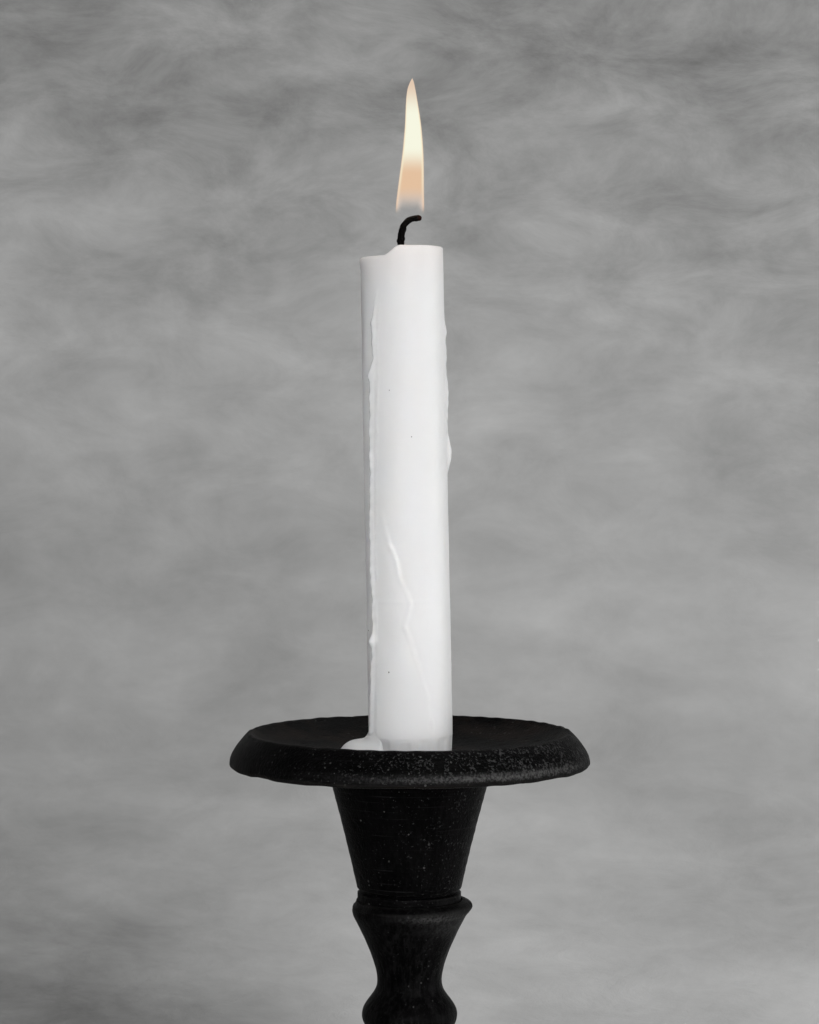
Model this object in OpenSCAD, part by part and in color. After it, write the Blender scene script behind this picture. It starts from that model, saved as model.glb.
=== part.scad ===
// Turned wooden candlestick with a wide drip tray, holding a dinner candle.
// Millimetres, +Z up. The origin is the middle of the felt's underside, where the stick stands.
// From the table up: felt pad, base, stem, knop, cup, drip tray, candle.

/* [Overall] */
// Height of the drip tray's rim above the table
stick_h = 250; // [220:1:320]

/* [Base] */
// Widest diameter of the base
base_d = 100; // [84:1:130]
// Height of the base, from its underside to the stem's shoulder
base_h = 27; // [24:0.5:34]
// Height of the base's sloping edge
base_edge_h = 10; // [8:0.5:13]
// Diameter of the collar that the stem stands on
base_collar_d = 27.6; // [25:0.2:34]
// Thickness of the felt under the base
felt_t = 2; // [1:0.5:3]
// How far the felt's edge stays inside the base's widest line
felt_inset = 3.5; // [2.5:0.5:8]

/* [Stem] */
// Diameter of the stem's shoulder on the base
stem_foot_d = 24.4; // [21:0.2:27]
// Diameter of the bead above the shoulder
stem_bead_d = 28.4; // [25:0.2:34]
// Height of that bead
stem_bead_h = 8.4; // [7:0.2:10]
// Diameter of the low neck, over the bead
stem_low_neck_d = 18.4; // [16:0.2:22]
// Diameter of the stem at its belly
stem_belly_d = 32; // [27:0.5:38]
// Height of the belly above the stem's shoulder
stem_belly_z = 48; // [42:1:56]
// Diameter of the stem at its upper neck
stem_neck_d = 16.8; // [15:0.2:20]
// Diameter of the fillet at the stem's top
stem_top_d = 21.2; // [20:0.2:25]

/* [Knop] */
// Height of the knop, from the stem to the cup's seat
knop_h = 36.4; // [34:0.2:43]
// Widest diameter of the knop's rim
knop_rim_d = 31.7; // [29.6:0.1:38]
// Diameter of the knop's neck
knop_neck_d = 17; // [15:0.2:20.4]
// Depth of the neck below the cup's seat
knop_neck_drop = 20.9; // [18.5:0.1:22]
// Diameter of the bead under the neck
knop_bead_d = 25; // [22:0.2:30]
// Radius of that bead's rounding
knop_bead_r = 4.8; // [4.2:0.1:5.4]
// Depth of the shallow seat in the knop's top
knop_seat_depth = 0.6; // [0.4:0.1:1]

/* [Cup] */
// Height of the cup, from its seat on the knop to the drip tray
cup_h = 33.7; // [29:0.1:42]
// Diameter of the cup under the drip tray
cup_top_d = 42.4; // [38:0.2:52]
// Diameter of the cup just above its groove
cup_low_d = 27.5; // [25.8:0.1:29]
// Diameter of the fillet at the cup's foot
cup_fillet_d = 27.2; // [25:0.1:28]
// Height of that fillet
cup_fillet_h = 2.7; // [2.2:0.1:3.3]

/* [Drip tray] */
// Widest diameter of the drip tray
tray_d = 94.4; // [84:0.2:116]
// Height of the tray, from its lower edge to its rim
tray_h = 8.9; // [7.6:0.1:10.6]
// How much narrower the rim is than the widest line, each side
tray_batter = 5.1; // [4:0.1:6.4]
// Drop of the underside from the tray's edge to the cup
tray_belly = 2; // [1:0.1:3]
// Depth of the dish below the rim
dish_depth = 5.6; // [4.6:0.1:6.8]

/* [Socket] */
// Depth of the socket below the dish
socket_depth = 16; // [13:0.1:19]
// Room round the candle in the socket
candle_clear = 0.3; // [0.2:0.05:0.6]
// Wood left round the socket where the cup passes through the tray
spigot_wall = 3.2; // [2.4:0.1:4]

/* [Candle] */
// Diameter of the candle at its foot
candle_d = 22; // [18:0.1:27]
// Diameter of the candle at its top
candle_top_d = 21.6; // [17.6:0.1:26.6]
// Height of the candle's rim above the dish
candle_show = 132.2; // [80:0.2:220]
// Diameter of the fluted end at its tip
flute_tip_d = 19.4; // [15:0.1:22]
// Height of the flutes' upper end above the dish
flute_show = 5.1; // [3:0.1:7]
// Number of flutes
flute_count = 12; // [8:1:18]
// Depth of the melt pool round the wick
pool_depth = 3.2; // [1.5:0.1:5]
// Wax left between the pool and the outside
pool_rim = 1.4; // [1:0.1:2.5]
// Lean of the candle in its socket, in degrees
candle_lean = 1.07; // [0:0.01:1.4]
// How far the candle stands off the stick's axis, where it enters the socket
candle_shift = 0.4; // [0:0.05:0.45]
// Diameter of the wick
wick_d = 2; // [1.6:0.1:2.6]
// Height of the upright wick above the candle's rim
wick_rise = 4.2; // [3:0.1:8]
// Radius of the wick's bend
wick_bend_r = 3.4; // [2.4:0.1:5]
// Length of the wick past its bend
wick_tip_l = 2; // [1:0.1:4]

/* [Fixings] */
// Diameter of the dowels
dowel_d = 8; // [6:0.5:10]
// Length of the dowels
dowel_l = 20; // [16:0.5:24]
// Diameter of the stem's tenon
tenon_d = 16; // [13:0.5:19.5]
// Length of the stem's tenon
tenon_l = 13; // [11:0.5:15]
// Diameter of the base screw's shank
screw_d = 4.5; // [3.5:0.1:5.5]
// Length of the base screw under its head
screw_l = 20; // [16:0.5:24]
// Diameter of the base screw's head
screw_head_d = 8.6; // [7:0.1:10.4]
// Diameter of the washer
washer_d = 13; // [11:0.5:15.6]
// Thickness of the washer
washer_t = 1; // [0.8:0.1:1.5]

/* [Hidden] */
$fn = 96;
black_wood = [0.07, 0.065, 0.06];
beech = [0.78, 0.62, 0.43];
wax_white = [0.92, 0.91, 0.88];

glue_gap = 0.1;        // round a tenon, spigot or dowel
end_gap = 0.5;         // at the blind end of a dowel's or tenon's hole
press_gap = 0.05;      // round the wick and the base screw
seat_gap = 0.05;       // under the candle's foot
wax_gap = 0.3;         // between the set wax and the tray it lies on
head_h = 2.8;          // height of the base screw's head
head_cover = 0.6;      // depth of the screw's head inside the base
cross_w = 1.2;         // width of the recess in the screw's head
cross_l = 4.6;         // length of that recess
cross_depth = 1.6;     // depth of that recess
point_l = 4;           // length of the screw's point
round_edge = 1.2;      // rounding of the tray's lower edge
chamfer = 0.6;         // on dowels and tenons
flute_r = 1.9;         // radius of the tool that cuts a flute
flute_depth = 0.55;    // depth of a flute
flute_turn = -10;      // angle of the first flute
puddle_r = 6.9;        // radius of the wax puddle
puddle_h = 3.3;        // its height over its underside
puddle_at = [-11.2, -3]; // its middle, beside a candle of 22
spill_r = 9;           // radius of the dip melted in the candle's rim
spill_drop = 2.6;      // depth of that dip

base_r = base_d / 2;
tray_r = tray_d / 2;
candle_r = candle_d / 2;
candle_top_r = candle_top_d / 2;
wick_r = wick_d / 2;

socket_r = candle_r + candle_clear;
spigot_r = socket_r + spigot_wall;
floor_r = candle_r + 9;

tray_edge_z = stick_h - tray_h;
tray_seat_z = tray_edge_z - tray_belly;
dish_z = stick_h - dish_depth;
cup_foot_z = tray_seat_z - cup_h;
knop_foot_z = cup_foot_z - knop_h;
base_top_z = felt_t + base_h;
stem_h = knop_foot_z - base_top_z;
dowel_hole_l = dowel_l / 2 + end_gap;
washer_z = felt_t + head_cover + head_h;
candle_foot_z = -socket_depth + flute_tip_d / 2 * sin(candle_lean) + seat_gap;

// Runs of wax down the candle: [angle, lower end, upper end, radius, radius of the drop at the lower end],
// with the ends measured up from the dish. The first one reaches the puddle.
RUNS = [
    [-144, 4.4, 122, 0.9, 1.3],
    [-3, 76, 104, 0.7, 1.2],
    [2, 90, 113, 0.6, 0.9],
    [-151, 27, 32, 0.9, 1.6],
];

// Points along an arc, from angle a0 to a1.
function arc(centre, r, a0, a1, steps = 10) =
    [for (i = [0:steps]) let (a = a0 + (a1 - a0) * i / steps) centre + r * [cos(a), sin(a)]];

// Points along a cubic curve from p0 to p3, pulled towards p1 and p2.
function curve(p0, p1, p2, p3, steps = 14) =
    [for (i = [0:steps]) let (t = i / steps, s = 1 - t)
        s * s * s * p0 + 3 * s * s * t * p1 + 3 * s * t * t * p2 + t * t * t * p3];

// A solid turned from an outline of [radius, height] points.
module turned(outline) {
    rotate_extrude() polygon(outline);
}

// A round peg with chamfered ends, standing on z = 0.
module peg(r, l) {
    turned([[0, 0], [r - chamfer, 0], [r, chamfer], [r, l - chamfer], [r - chamfer, l], [0, l]]);
}

// A round hole from z = 0 up, cut a little past its mouth.
module hole_up(r, l) {
    translate([0, 0, -1]) cylinder(r = r, h = l + 1);
}

// A round hole from z = 0 down, cut a little past its mouth.
module hole_down(r, l) {
    translate([0, 0, -l]) cylinder(r = r, h = l + 1);
}

// Places the candle's own frame: its origin is in the dish's floor, beside the stick's axis, and it leans towards -X.
module in_socket() {
    translate([candle_shift, 0, dish_z]) rotate([0, -candle_lean, 0]) children();
}

module felt_pad() {
    color("darkolivegreen") cylinder(r = base_r - felt_inset, h = felt_t);
}

function base_outline() =
    let (low = felt_t, crest = felt_t + base_edge_h, collar = base_collar_d / 2)
    concat(
        [[0, low]],
        arc([base_r - 2.2, low + 2.2], 2.2, -90, 0),
        curve([base_r, low + 2.6], [base_r - 0.2, low + 5.4], [base_r - 2.4, crest - 2], [base_r - 4.6, crest]),
        arc([base_r - 5.3, crest - 0.4], 0.8, 60, 150, 6),
        [[base_r - 7.2, crest - 0.6], [base_r - 8, crest - 0.4]],
        curve([base_r - 8.4, crest + 0.2], [base_r - 22, crest + 1], [collar + 2.4, crest + 4.6],
              [collar + 0.6, base_top_z - 4]),
        [[collar + 0.6, base_top_z - 3.4], [collar, base_top_z - 3]],
        arc([collar - 1, base_top_z - 1], 1, 0, 90, 6),
        [[0, base_top_z]]
    );

module base() {
    color(black_wood) difference() {
        turned(base_outline());
        translate([0, 0, base_top_z]) hole_down(tenon_d / 2 + glue_gap, tenon_l + end_gap);
        translate([0, 0, felt_t]) hole_up(washer_d / 2 + 0.4, washer_z + washer_t - felt_t);
        cylinder(r = screw_d / 2 + 0.3, h = base_top_z);
    }
}

module base_washer() {
    color("silver") translate([0, 0, washer_z]) difference() {
        cylinder(r = washer_d / 2, h = washer_t);
        hole_up(screw_d / 2 + 0.3, washer_t + 1);
    }
}

module base_screw() {
    shank_z = washer_z;
    color("gray") difference() {
        turned([
            [0, shank_z - head_h], [screw_head_d / 2 - 1.2, shank_z - head_h],
            [screw_head_d / 2, shank_z - head_h + 1.4], [screw_head_d / 2, shank_z], [screw_d / 2, shank_z],
            [screw_d / 2, shank_z + screw_l - point_l], [0.4, shank_z + screw_l], [0, shank_z + screw_l],
        ]);
        for (turn = [0, 90])
            translate([0, 0, shank_z - head_h]) rotate([0, 0, turn])
                cube([cross_l, cross_w, 2 * cross_depth], center = true);
    }
}

function stem_outline() =
    let (
        foot = stem_foot_d / 2, bead = stem_bead_d / 2, half = stem_bead_h / 2,
        low = stem_low_neck_d / 2, belly = stem_belly_d / 2, neck = stem_neck_d / 2, top = stem_top_d / 2,
        bead_z = 3.6 + half, low_z = bead_z + half + 3.6, neck_z = stem_h - 9
    )
    concat(
        [[0, -tenon_l], [tenon_d / 2 - chamfer, -tenon_l], [tenon_d / 2, chamfer - tenon_l], [tenon_d / 2, 0]],
        [[foot, 0], [foot, 2.4], [foot - 0.9, 2.9], [foot - 0.9, 3.5]],
        arc([bead - half, bead_z], half, -68, 68, 14),
        curve([bead - half + 1.2, bead_z + half], [low + 0.8, bead_z + half + 0.6], [low, low_z - 1.6], [low, low_z]),
        curve([low, low_z + 0.2], [low, low_z + 5], [belly, stem_belly_z - 14], [belly, stem_belly_z]),
        curve([belly, stem_belly_z + 0.2], [belly, stem_belly_z + 22], [neck, neck_z - 32], [neck, neck_z], 20),
        curve([neck, neck_z + 0.2], [neck, neck_z + 3], [top - 1.6, stem_h - 4.4], [top - 0.8, stem_h - 3.4], 8),
        [[top - 0.8, stem_h - 3], [top, stem_h - 2.8], [top, stem_h - 0.3], [top - 0.3, stem_h], [0, stem_h]]
    );

module stem() {
    color(black_wood) translate([0, 0, base_top_z]) difference() {
        turned(stem_outline());
        translate([0, 0, stem_h]) hole_down(dowel_d / 2 + glue_gap, dowel_hole_l);
        translate([0, 0, -tenon_l]) hole_up(screw_d / 2 + press_gap, screw_l - (base_top_z - tenon_l - washer_z) + end_gap);
    }
}

module knop_dowel() {
    color(beech) translate([0, 0, knop_foot_z - dowel_l / 2]) peg(dowel_d / 2, dowel_l);
}

module cup_dowel() {
    color(beech) translate([0, 0, cup_foot_z - dowel_l / 2]) peg(dowel_d / 2, dowel_l);
}

// The knop, with z = 0 at the seat that the cup stands on.
function knop_outline() =
    let (
        rim = knop_rim_d / 2, neck = knop_neck_d / 2, bead = knop_bead_d / 2, lip = 0.5,
        bead_z = 6.6 - knop_h, bead_c = bead - knop_bead_r, leave = 32,
        shoulder = [bead_c + knop_bead_r * cos(leave), bead_z + knop_bead_r * sin(leave)],
        neck_z = -knop_neck_drop
    )
    concat(
        [[0, -knop_h], [bead - 3, -knop_h]],
        arc([bead_c, bead_z], knop_bead_r, -62, leave, 16),
        curve(shoulder, shoulder + [-1.5, 2.4], [neck, neck_z - 2.7], [neck, neck_z], 10),
        curve([neck, neck_z + 0.2], [neck, neck_z + 4.7], [rim - 3.35, -8], [rim - 0.3, -2.4], 16),
        arc([rim - lip, -0.7 - lip], lip, -12, 52, 6),
        [[cup_fillet_d / 2 + 0.3, knop_seat_depth], [cup_fillet_d / 2 + 0.2, 0], [0, 0]]
    );

module knop() {
    color(black_wood) translate([0, 0, cup_foot_z]) difference() {
        turned(knop_outline());
        hole_down(dowel_d / 2 + glue_gap, dowel_hole_l);
        translate([0, 0, -knop_h]) hole_up(dowel_d / 2 + glue_gap, dowel_hole_l);
    }
}

// The cup, with z = 0 at its foot. Its spigot rises through the tray to the floor of the dish.
function cup_outline() =
    let (
        fillet = cup_fillet_d / 2, low = cup_low_d / 2, top = cup_top_d / 2, wider = top - low,
        wall_z = cup_fillet_h + 1.2, wall_h = cup_h - wall_z - 0.4,
        spigot_top = cup_h + tray_belly + tray_h - dish_depth
    )
    concat(
        [[0, 0], [fillet - 0.3, 0], [fillet, 0.3], [fillet, cup_fillet_h - 0.3], [fillet - 0.5, cup_fillet_h]],
        [[low - 1.1, cup_fillet_h + 0.2], [low - 1.1, cup_fillet_h + 0.7], [low - 0.15, cup_fillet_h + 0.9]],
        curve([low, wall_z], [low + 0.285 * wider, wall_z + wall_h / 3],
              [low + 0.62 * wider, wall_z + wall_h * 2 / 3], [top - 0.1, wall_z + wall_h], 12),
        [[top - 0.4, cup_h], [spigot_r, cup_h], [spigot_r, spigot_top], [0, spigot_top]]
    );

module cup() {
    color(black_wood) difference() {
        translate([0, 0, cup_foot_z]) turned(cup_outline());
        translate([0, 0, dish_z]) hole_down(socket_r, socket_depth);
        translate([0, 0, cup_foot_z]) hole_up(dowel_d / 2 + glue_gap, dowel_hole_l);
    }
}

// The drip tray, with z = 0 at its rim.
function tray_outline() =
    let (rim = tray_r - tray_batter, edge = round_edge - tray_h, bore = spigot_r + glue_gap, seat = cup_top_d / 2 + 1)
    concat(
        [[bore, -tray_h - tray_belly], [seat, -tray_h - tray_belly]],
        arc([tray_r - round_edge, edge], round_edge, -90, 0),
        curve([tray_r, edge + 0.2], [tray_r - 0.2, edge + 2.5], [rim + 2.4, -2], [rim + 0.3, -0.1]),
        [[rim, 0], [rim - 0.4, -0.05]],
        curve([rim - 0.8, -0.3], [rim - 4, -3], [floor_r + 9, -dish_depth], [floor_r, -dish_depth], 18),
        [[bore, -dish_depth]]
    );

module drip_tray() {
    color(black_wood) translate([0, 0, stick_h]) turned(tray_outline());
}

// The candle in its own frame, with z = 0 at the dish's floor.
function candle_outline() =
    let (pool_r = candle_top_r - pool_rim, pool_z = candle_show - pool_depth)
    concat(
        [[0, candle_foot_z], [flute_tip_d / 2, candle_foot_z], [candle_r - 0.15, flute_show]],
        [[candle_r, flute_show], [candle_top_r, candle_show - 0.8]],
        arc([candle_top_r - 0.6, candle_show - 0.6], 0.6, 20, 90, 5),
        curve([pool_r, candle_show], [pool_r - 0.8, pool_z + 0.6], [wick_r + 4, pool_z], [wick_r + 2, pool_z], 10),
        [[0, pool_z]]
    );

// The candle's tapered end, without its flutes.
module candle_end() {
    translate([0, 0, candle_foot_z])
        cylinder(r1 = flute_tip_d / 2, r2 = candle_r - 0.15, h = flute_show - candle_foot_z);
}

// One flute: a cutter that follows the taper of the candle's end.
module flute_cutter() {
    taper = atan((candle_r - 0.15 - flute_tip_d / 2) / (flute_show - candle_foot_z));
    translate([candle_r - 0.15 + flute_r - flute_depth, 0, flute_show - 0.4]) rotate([0, taper, 0])
        translate([0, 0, candle_foot_z - flute_show - 2]) cylinder(r = flute_r, h = flute_show - candle_foot_z + 2);
}

// Wax set in runs down the outside. The candle's middle is left to the candle itself.
module runs() {
    for (run = RUNS)
        rotate([0, 0, run[0]]) translate([candle_r - 0.2, 0, 0]) {
            translate([0, 0, run[1] + run[4]]) cylinder(r = run[3], h = run[2] - run[1] - run[4]);
            translate([0, 0, run[1] + run[4]]) sphere(r = run[4]);
        }
}

module candle() {
    color(wax_white) in_socket() union() {
        difference() {
            turned(candle_outline());
            translate([0, 0, candle_foot_z - 1]) cylinder(r = wick_r + press_gap, h = candle_show - candle_foot_z + 2);
            for (i = [0:flute_count - 1]) rotate([0, 0, flute_turn + 360 / flute_count * i]) flute_cutter();
            translate([-candle_top_r - 2, -4, candle_show + spill_r - spill_drop]) sphere(r = spill_r);
        }
        runs();
    }
}

// The wick: upright in the candle, then bent over towards +X.
module wick() {
    bend_z = candle_show + wick_rise;
    upright_l = floor(bend_z - candle_foot_z - 0.5);
    color([0.05, 0.05, 0.05]) in_socket() union() {
        translate([0, 0, bend_z - upright_l]) cylinder(r = wick_r, h = upright_l);
        translate([wick_bend_r, 0, bend_z]) rotate([90, 0, 0]) rotate([0, 0, 90])
            rotate_extrude(angle = 90) translate([wick_bend_r, 0]) circle(r = wick_r);
        translate([wick_bend_r, 0, bend_z + wick_bend_r]) rotate([0, 90, 0])
            cylinder(r1 = wick_r, r2 = wick_r * 0.7, h = wick_tip_l);
    }
}

// A puddle of set wax: a low dome that the candle stands in.
module wax_puddle() {
    color(wax_white) difference() {
        translate([puddle_at.x * candle_r / 11, puddle_at.y, dish_z + wax_gap])
            turned(concat(
                [[0, 0], [puddle_r, 0]],
                curve([puddle_r, 0.3], [puddle_r - 0.4, 2], [puddle_r - 3.4, puddle_h], [puddle_r - 5, puddle_h], 10),
                [[0, puddle_h]]
            ));
        in_socket() candle_end();
    }
}

felt_pad();
base();
base_screw();
base_washer();
stem();
knop_dowel();
knop();
cup_dowel();
cup();
drip_tray();
candle();
wick();
wax_puddle();
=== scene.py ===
"""Looks for a turned, black-painted wooden candlestick with a lit dinner candle.

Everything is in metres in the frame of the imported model: +Z up, the stick's axis on x = y = 0,
the felt's underside on z = 0, and the front towards -Y.
"""

import logging
import math
from dataclasses import dataclass
from enum import Enum
from typing import Callable, ClassVar, Optional, Sequence

import bpy
import numpy as np
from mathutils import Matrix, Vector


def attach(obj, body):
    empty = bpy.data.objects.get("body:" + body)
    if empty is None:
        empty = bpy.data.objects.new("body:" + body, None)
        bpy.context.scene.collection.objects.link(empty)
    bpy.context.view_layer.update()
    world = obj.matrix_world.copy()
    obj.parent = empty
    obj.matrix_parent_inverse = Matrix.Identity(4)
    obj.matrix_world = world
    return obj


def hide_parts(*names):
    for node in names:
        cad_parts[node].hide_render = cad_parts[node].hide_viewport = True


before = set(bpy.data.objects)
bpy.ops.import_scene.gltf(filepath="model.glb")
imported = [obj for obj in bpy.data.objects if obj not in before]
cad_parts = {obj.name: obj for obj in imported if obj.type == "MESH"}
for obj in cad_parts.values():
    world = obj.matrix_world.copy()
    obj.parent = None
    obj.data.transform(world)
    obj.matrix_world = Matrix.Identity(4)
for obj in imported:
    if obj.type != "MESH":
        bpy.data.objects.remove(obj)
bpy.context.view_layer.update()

MM = 0.001
FRONT = math.radians(-90)
log = logging.getLogger("candlestick")

Colour = tuple[float, float, float, float]


# ---------------------------------------------------------------- shapes


def arc(centre: Sequence[float], r: float, a0: float, a1: float, steps: int = 10) -> np.ndarray:
    """Points of a circular arc: the centre plus r times (cosine, sine), from angle a0 to a1.

    Args:
        centre: radius and height of the arc's centre.
        r: radius of the arc.
        a0: first angle, in degrees.
        a1: last angle, in degrees.
        steps: number of chords.

    Returns:
        Array of (radius, height) rows.
    """
    a = np.radians(np.linspace(a0, a1, steps + 1))
    return np.column_stack([centre[0] + r * np.cos(a), centre[1] + r * np.sin(a)])


def curve(p0: Sequence[float], p1: Sequence[float], p2: Sequence[float], p3: Sequence[float],
          steps: int = 14) -> np.ndarray:
    """Points of a cubic curve: the four points weighted by (1, 3, 3, 1) and the powers of t and 1 - t.

    Args:
        p0: first point.
        p1: point that the start leans towards.
        p2: point that the end leans towards.
        p3: last point.
        steps: number of chords.

    Returns:
        Array of (radius, height) rows.
    """
    t = np.linspace(0, 1, steps + 1)[:, None]
    s = 1 - t
    a, b, c, d = (np.asarray(p, float) for p in (p0, p1, p2, p3))
    return s**3 * a + 3 * s * s * t * b + 3 * s * t * t * c + t**3 * d


def smooth(x: np.ndarray, low: float, high: float) -> np.ndarray:
    """Smooth step: 3t^2 - 2t^3 of t, which runs from 0 at low to 1 at high."""
    t = np.clip((x - low) / (high - low), 0, 1)
    return t * t * (3 - 2 * t)


def bump(x: np.ndarray, width: float) -> np.ndarray:
    """Bell of height 1: e to the power of minus (x over width) squared."""
    return np.exp(-((x / width) ** 2))


def turn_apart(a: np.ndarray, b: np.ndarray) -> np.ndarray:
    """Signed difference of two angles in radians, wrapped into -pi to pi."""
    return (a - b + np.pi) % (2 * np.pi) - np.pi


def once_round(count: int) -> np.ndarray:
    """Evenly spaced angles in radians, from 0 up to one turn."""
    return np.linspace(0, 2 * np.pi, count, endpoint=False)


def run_length(points: np.ndarray) -> np.ndarray:
    """Distance of each outline point from the first one: the running sum of the chords."""
    return np.concatenate([[0], np.cumsum(np.hypot(*np.diff(points, axis=0).T))])


def round_axis(r: np.ndarray, theta: np.ndarray, z: np.ndarray) -> np.ndarray:
    """Positions (r cosine theta, r sine theta, z), with a row for each r and a column for each theta."""
    return np.stack(np.broadcast_arrays(r * np.cos(theta), r * np.sin(theta), z), axis=-1)


@dataclass(frozen=True)
class Waves:
    """Smooth random relief that closes round an axis.

    Attributes:
        seed: seed of the random draws.
        count: number of waves added together.
        turns: most waves round the axis.
        along: most radians of phase a millimetre along the outline.
    """

    seed: int
    count: int = 40
    turns: int = 12
    along: float = 0.6

    def on(self, theta: np.ndarray, s: np.ndarray) -> np.ndarray:
        """Sum of cosines of (whole turns x theta + rate x s + phase), scaled to a spread of about 1.

        Args:
            theta: angles round the axis, in radians, as one row.
            s: distance along the outline in millimetres, as one row.

        Returns:
            Array with a row for each s and a column for each theta.
        """
        rng = np.random.default_rng(self.seed)
        turns = rng.integers(-self.turns, self.turns + 1, self.count)
        rates = rng.uniform(-self.along, self.along, self.count)
        phases = rng.uniform(0, 2 * np.pi, self.count)
        total = np.zeros((len(s), len(theta)))
        for turn, rate, phase in zip(turns, rates, phases):
            total += np.cos(turn * theta[None, :] + rate * s[:, None] + phase)
        return total / math.sqrt(self.count / 2)


@dataclass(frozen=True)
class Nicks:
    """Small dents scattered at random over a surface.

    Attributes:
        seed: seed of the random draws.
        count: number of dents.
        size: smallest and largest half-width, in millimetres.
        depth: smallest and largest depth, in millimetres.
        stretch: how much longer a dent is round the axis than along the outline.
    """

    seed: int
    count: int
    size: tuple[float, float]
    depth: tuple[float, float]
    stretch: float = 1.4

    def on(self, theta: np.ndarray, s: np.ndarray, r: np.ndarray,
           low: float, high: float) -> np.ndarray:
        """Sum of bells at random places, each as deep and as wide as its own draw.

        Args:
            theta: angles round the axis, in radians, as one row.
            s: distance along the outline in millimetres, as one row.
            r: radius in millimetres for each s.
            low: lowest s for a dent's middle.
            high: highest s for a dent's middle.

        Returns:
            Depth in millimetres, with a row for each s and a column for each theta.
        """
        rng = np.random.default_rng(self.seed)
        total = np.zeros((len(s), len(theta)))
        for _ in range(self.count):
            at_turn, at_s = rng.uniform(0, 2 * np.pi), rng.uniform(low, high)
            size, depth = rng.uniform(*self.size), rng.uniform(*self.depth)
            rows = np.abs(s - at_s) < 3 * size
            across = turn_apart(theta[None, :], at_turn) * r[rows, None]
            along = (s[rows] - at_s)[:, None]
            total[rows] += depth * bump(across, size * self.stretch) * bump(along, size)
        return total


def surface_object(name: str, points: np.ndarray,
                   poles: tuple[Optional[np.ndarray], Optional[np.ndarray]], looped: bool,
                   attributes: dict[str, np.ndarray], material: bpy.types.Material) -> bpy.types.Object:
    """Makes a closed mesh from a grid that wraps round in its second direction.

    Args:
        name: name of the new object.
        points: grid of positions in metres, rows x columns x 3, anticlockwise seen from outside.
        poles: the points that close the first and last rows, or None for each on a looped grid.
        looped: whether the last row joins the first.
        attributes: values for each grid point, as rows x columns or rows x columns x 3.
        material: the object's material.

    Returns:
        The new object, at the origin, unturned and unscaled.
    """
    rows, cols = points.shape[:2]
    index = np.arange(rows * cols).reshape(rows, cols)
    lower = index if looped else index[:-1]
    upper = np.roll(index, -1, axis=0) if looped else index[1:]
    quads = np.stack([lower, np.roll(lower, -1, axis=1), np.roll(upper, -1, axis=1), upper], axis=-1)
    co = [points.reshape(-1, 3)]
    tris = []
    for pole, row, flip in ((poles[0], index[0], True), (poles[1], index[-1], False)):
        if pole is None:
            continue
        apex = np.full(cols, rows * cols + len(co) - 1)
        co.append(np.asarray(pole, float)[None, :])
        nxt = np.roll(row, -1)
        tris.append(np.stack([nxt, row, apex] if flip else [row, nxt, apex], axis=-1))
    co_all = np.concatenate(co)
    quads = quads.reshape(-1, 4)
    tri_all = np.concatenate(tris) if tris else np.zeros((0, 3), int)
    loops = np.concatenate([quads.ravel(), tri_all.ravel()])
    starts = np.concatenate([np.arange(len(quads)) * 4, len(quads) * 4 + np.arange(len(tri_all)) * 3])
    mesh = bpy.data.meshes.new(name)
    mesh.vertices.add(len(co_all))
    mesh.vertices.foreach_set("co", co_all.astype(np.float32).ravel())
    mesh.loops.add(len(loops))
    mesh.loops.foreach_set("vertex_index", loops.astype(np.int32))
    mesh.polygons.add(len(starts))
    mesh.polygons.foreach_set("loop_start", starts.astype(np.int32))
    mesh.polygons.foreach_set("use_smooth", np.ones(len(starts), bool))
    mesh.update(calc_edges=True)
    mesh.validate()
    ends = [row for pole, row in ((poles[0], 0), (poles[1], rows * cols - 1)) if pole is not None]
    for key, values in attributes.items():
        vector = values.ndim == 3
        flat = values.reshape(rows * cols, -1)
        flat = np.concatenate([flat, flat[ends]])
        layer = mesh.attributes.new(key, "FLOAT_VECTOR" if vector else "FLOAT", "POINT")
        layer.data.foreach_set("vector" if vector else "value", flat.astype(np.float32).ravel())
    obj = bpy.data.objects.new(name, mesh)
    obj.data.materials.append(material)
    bpy.context.scene.collection.objects.link(obj)
    return obj


# ---------------------------------------------------------------- shader building


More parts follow.
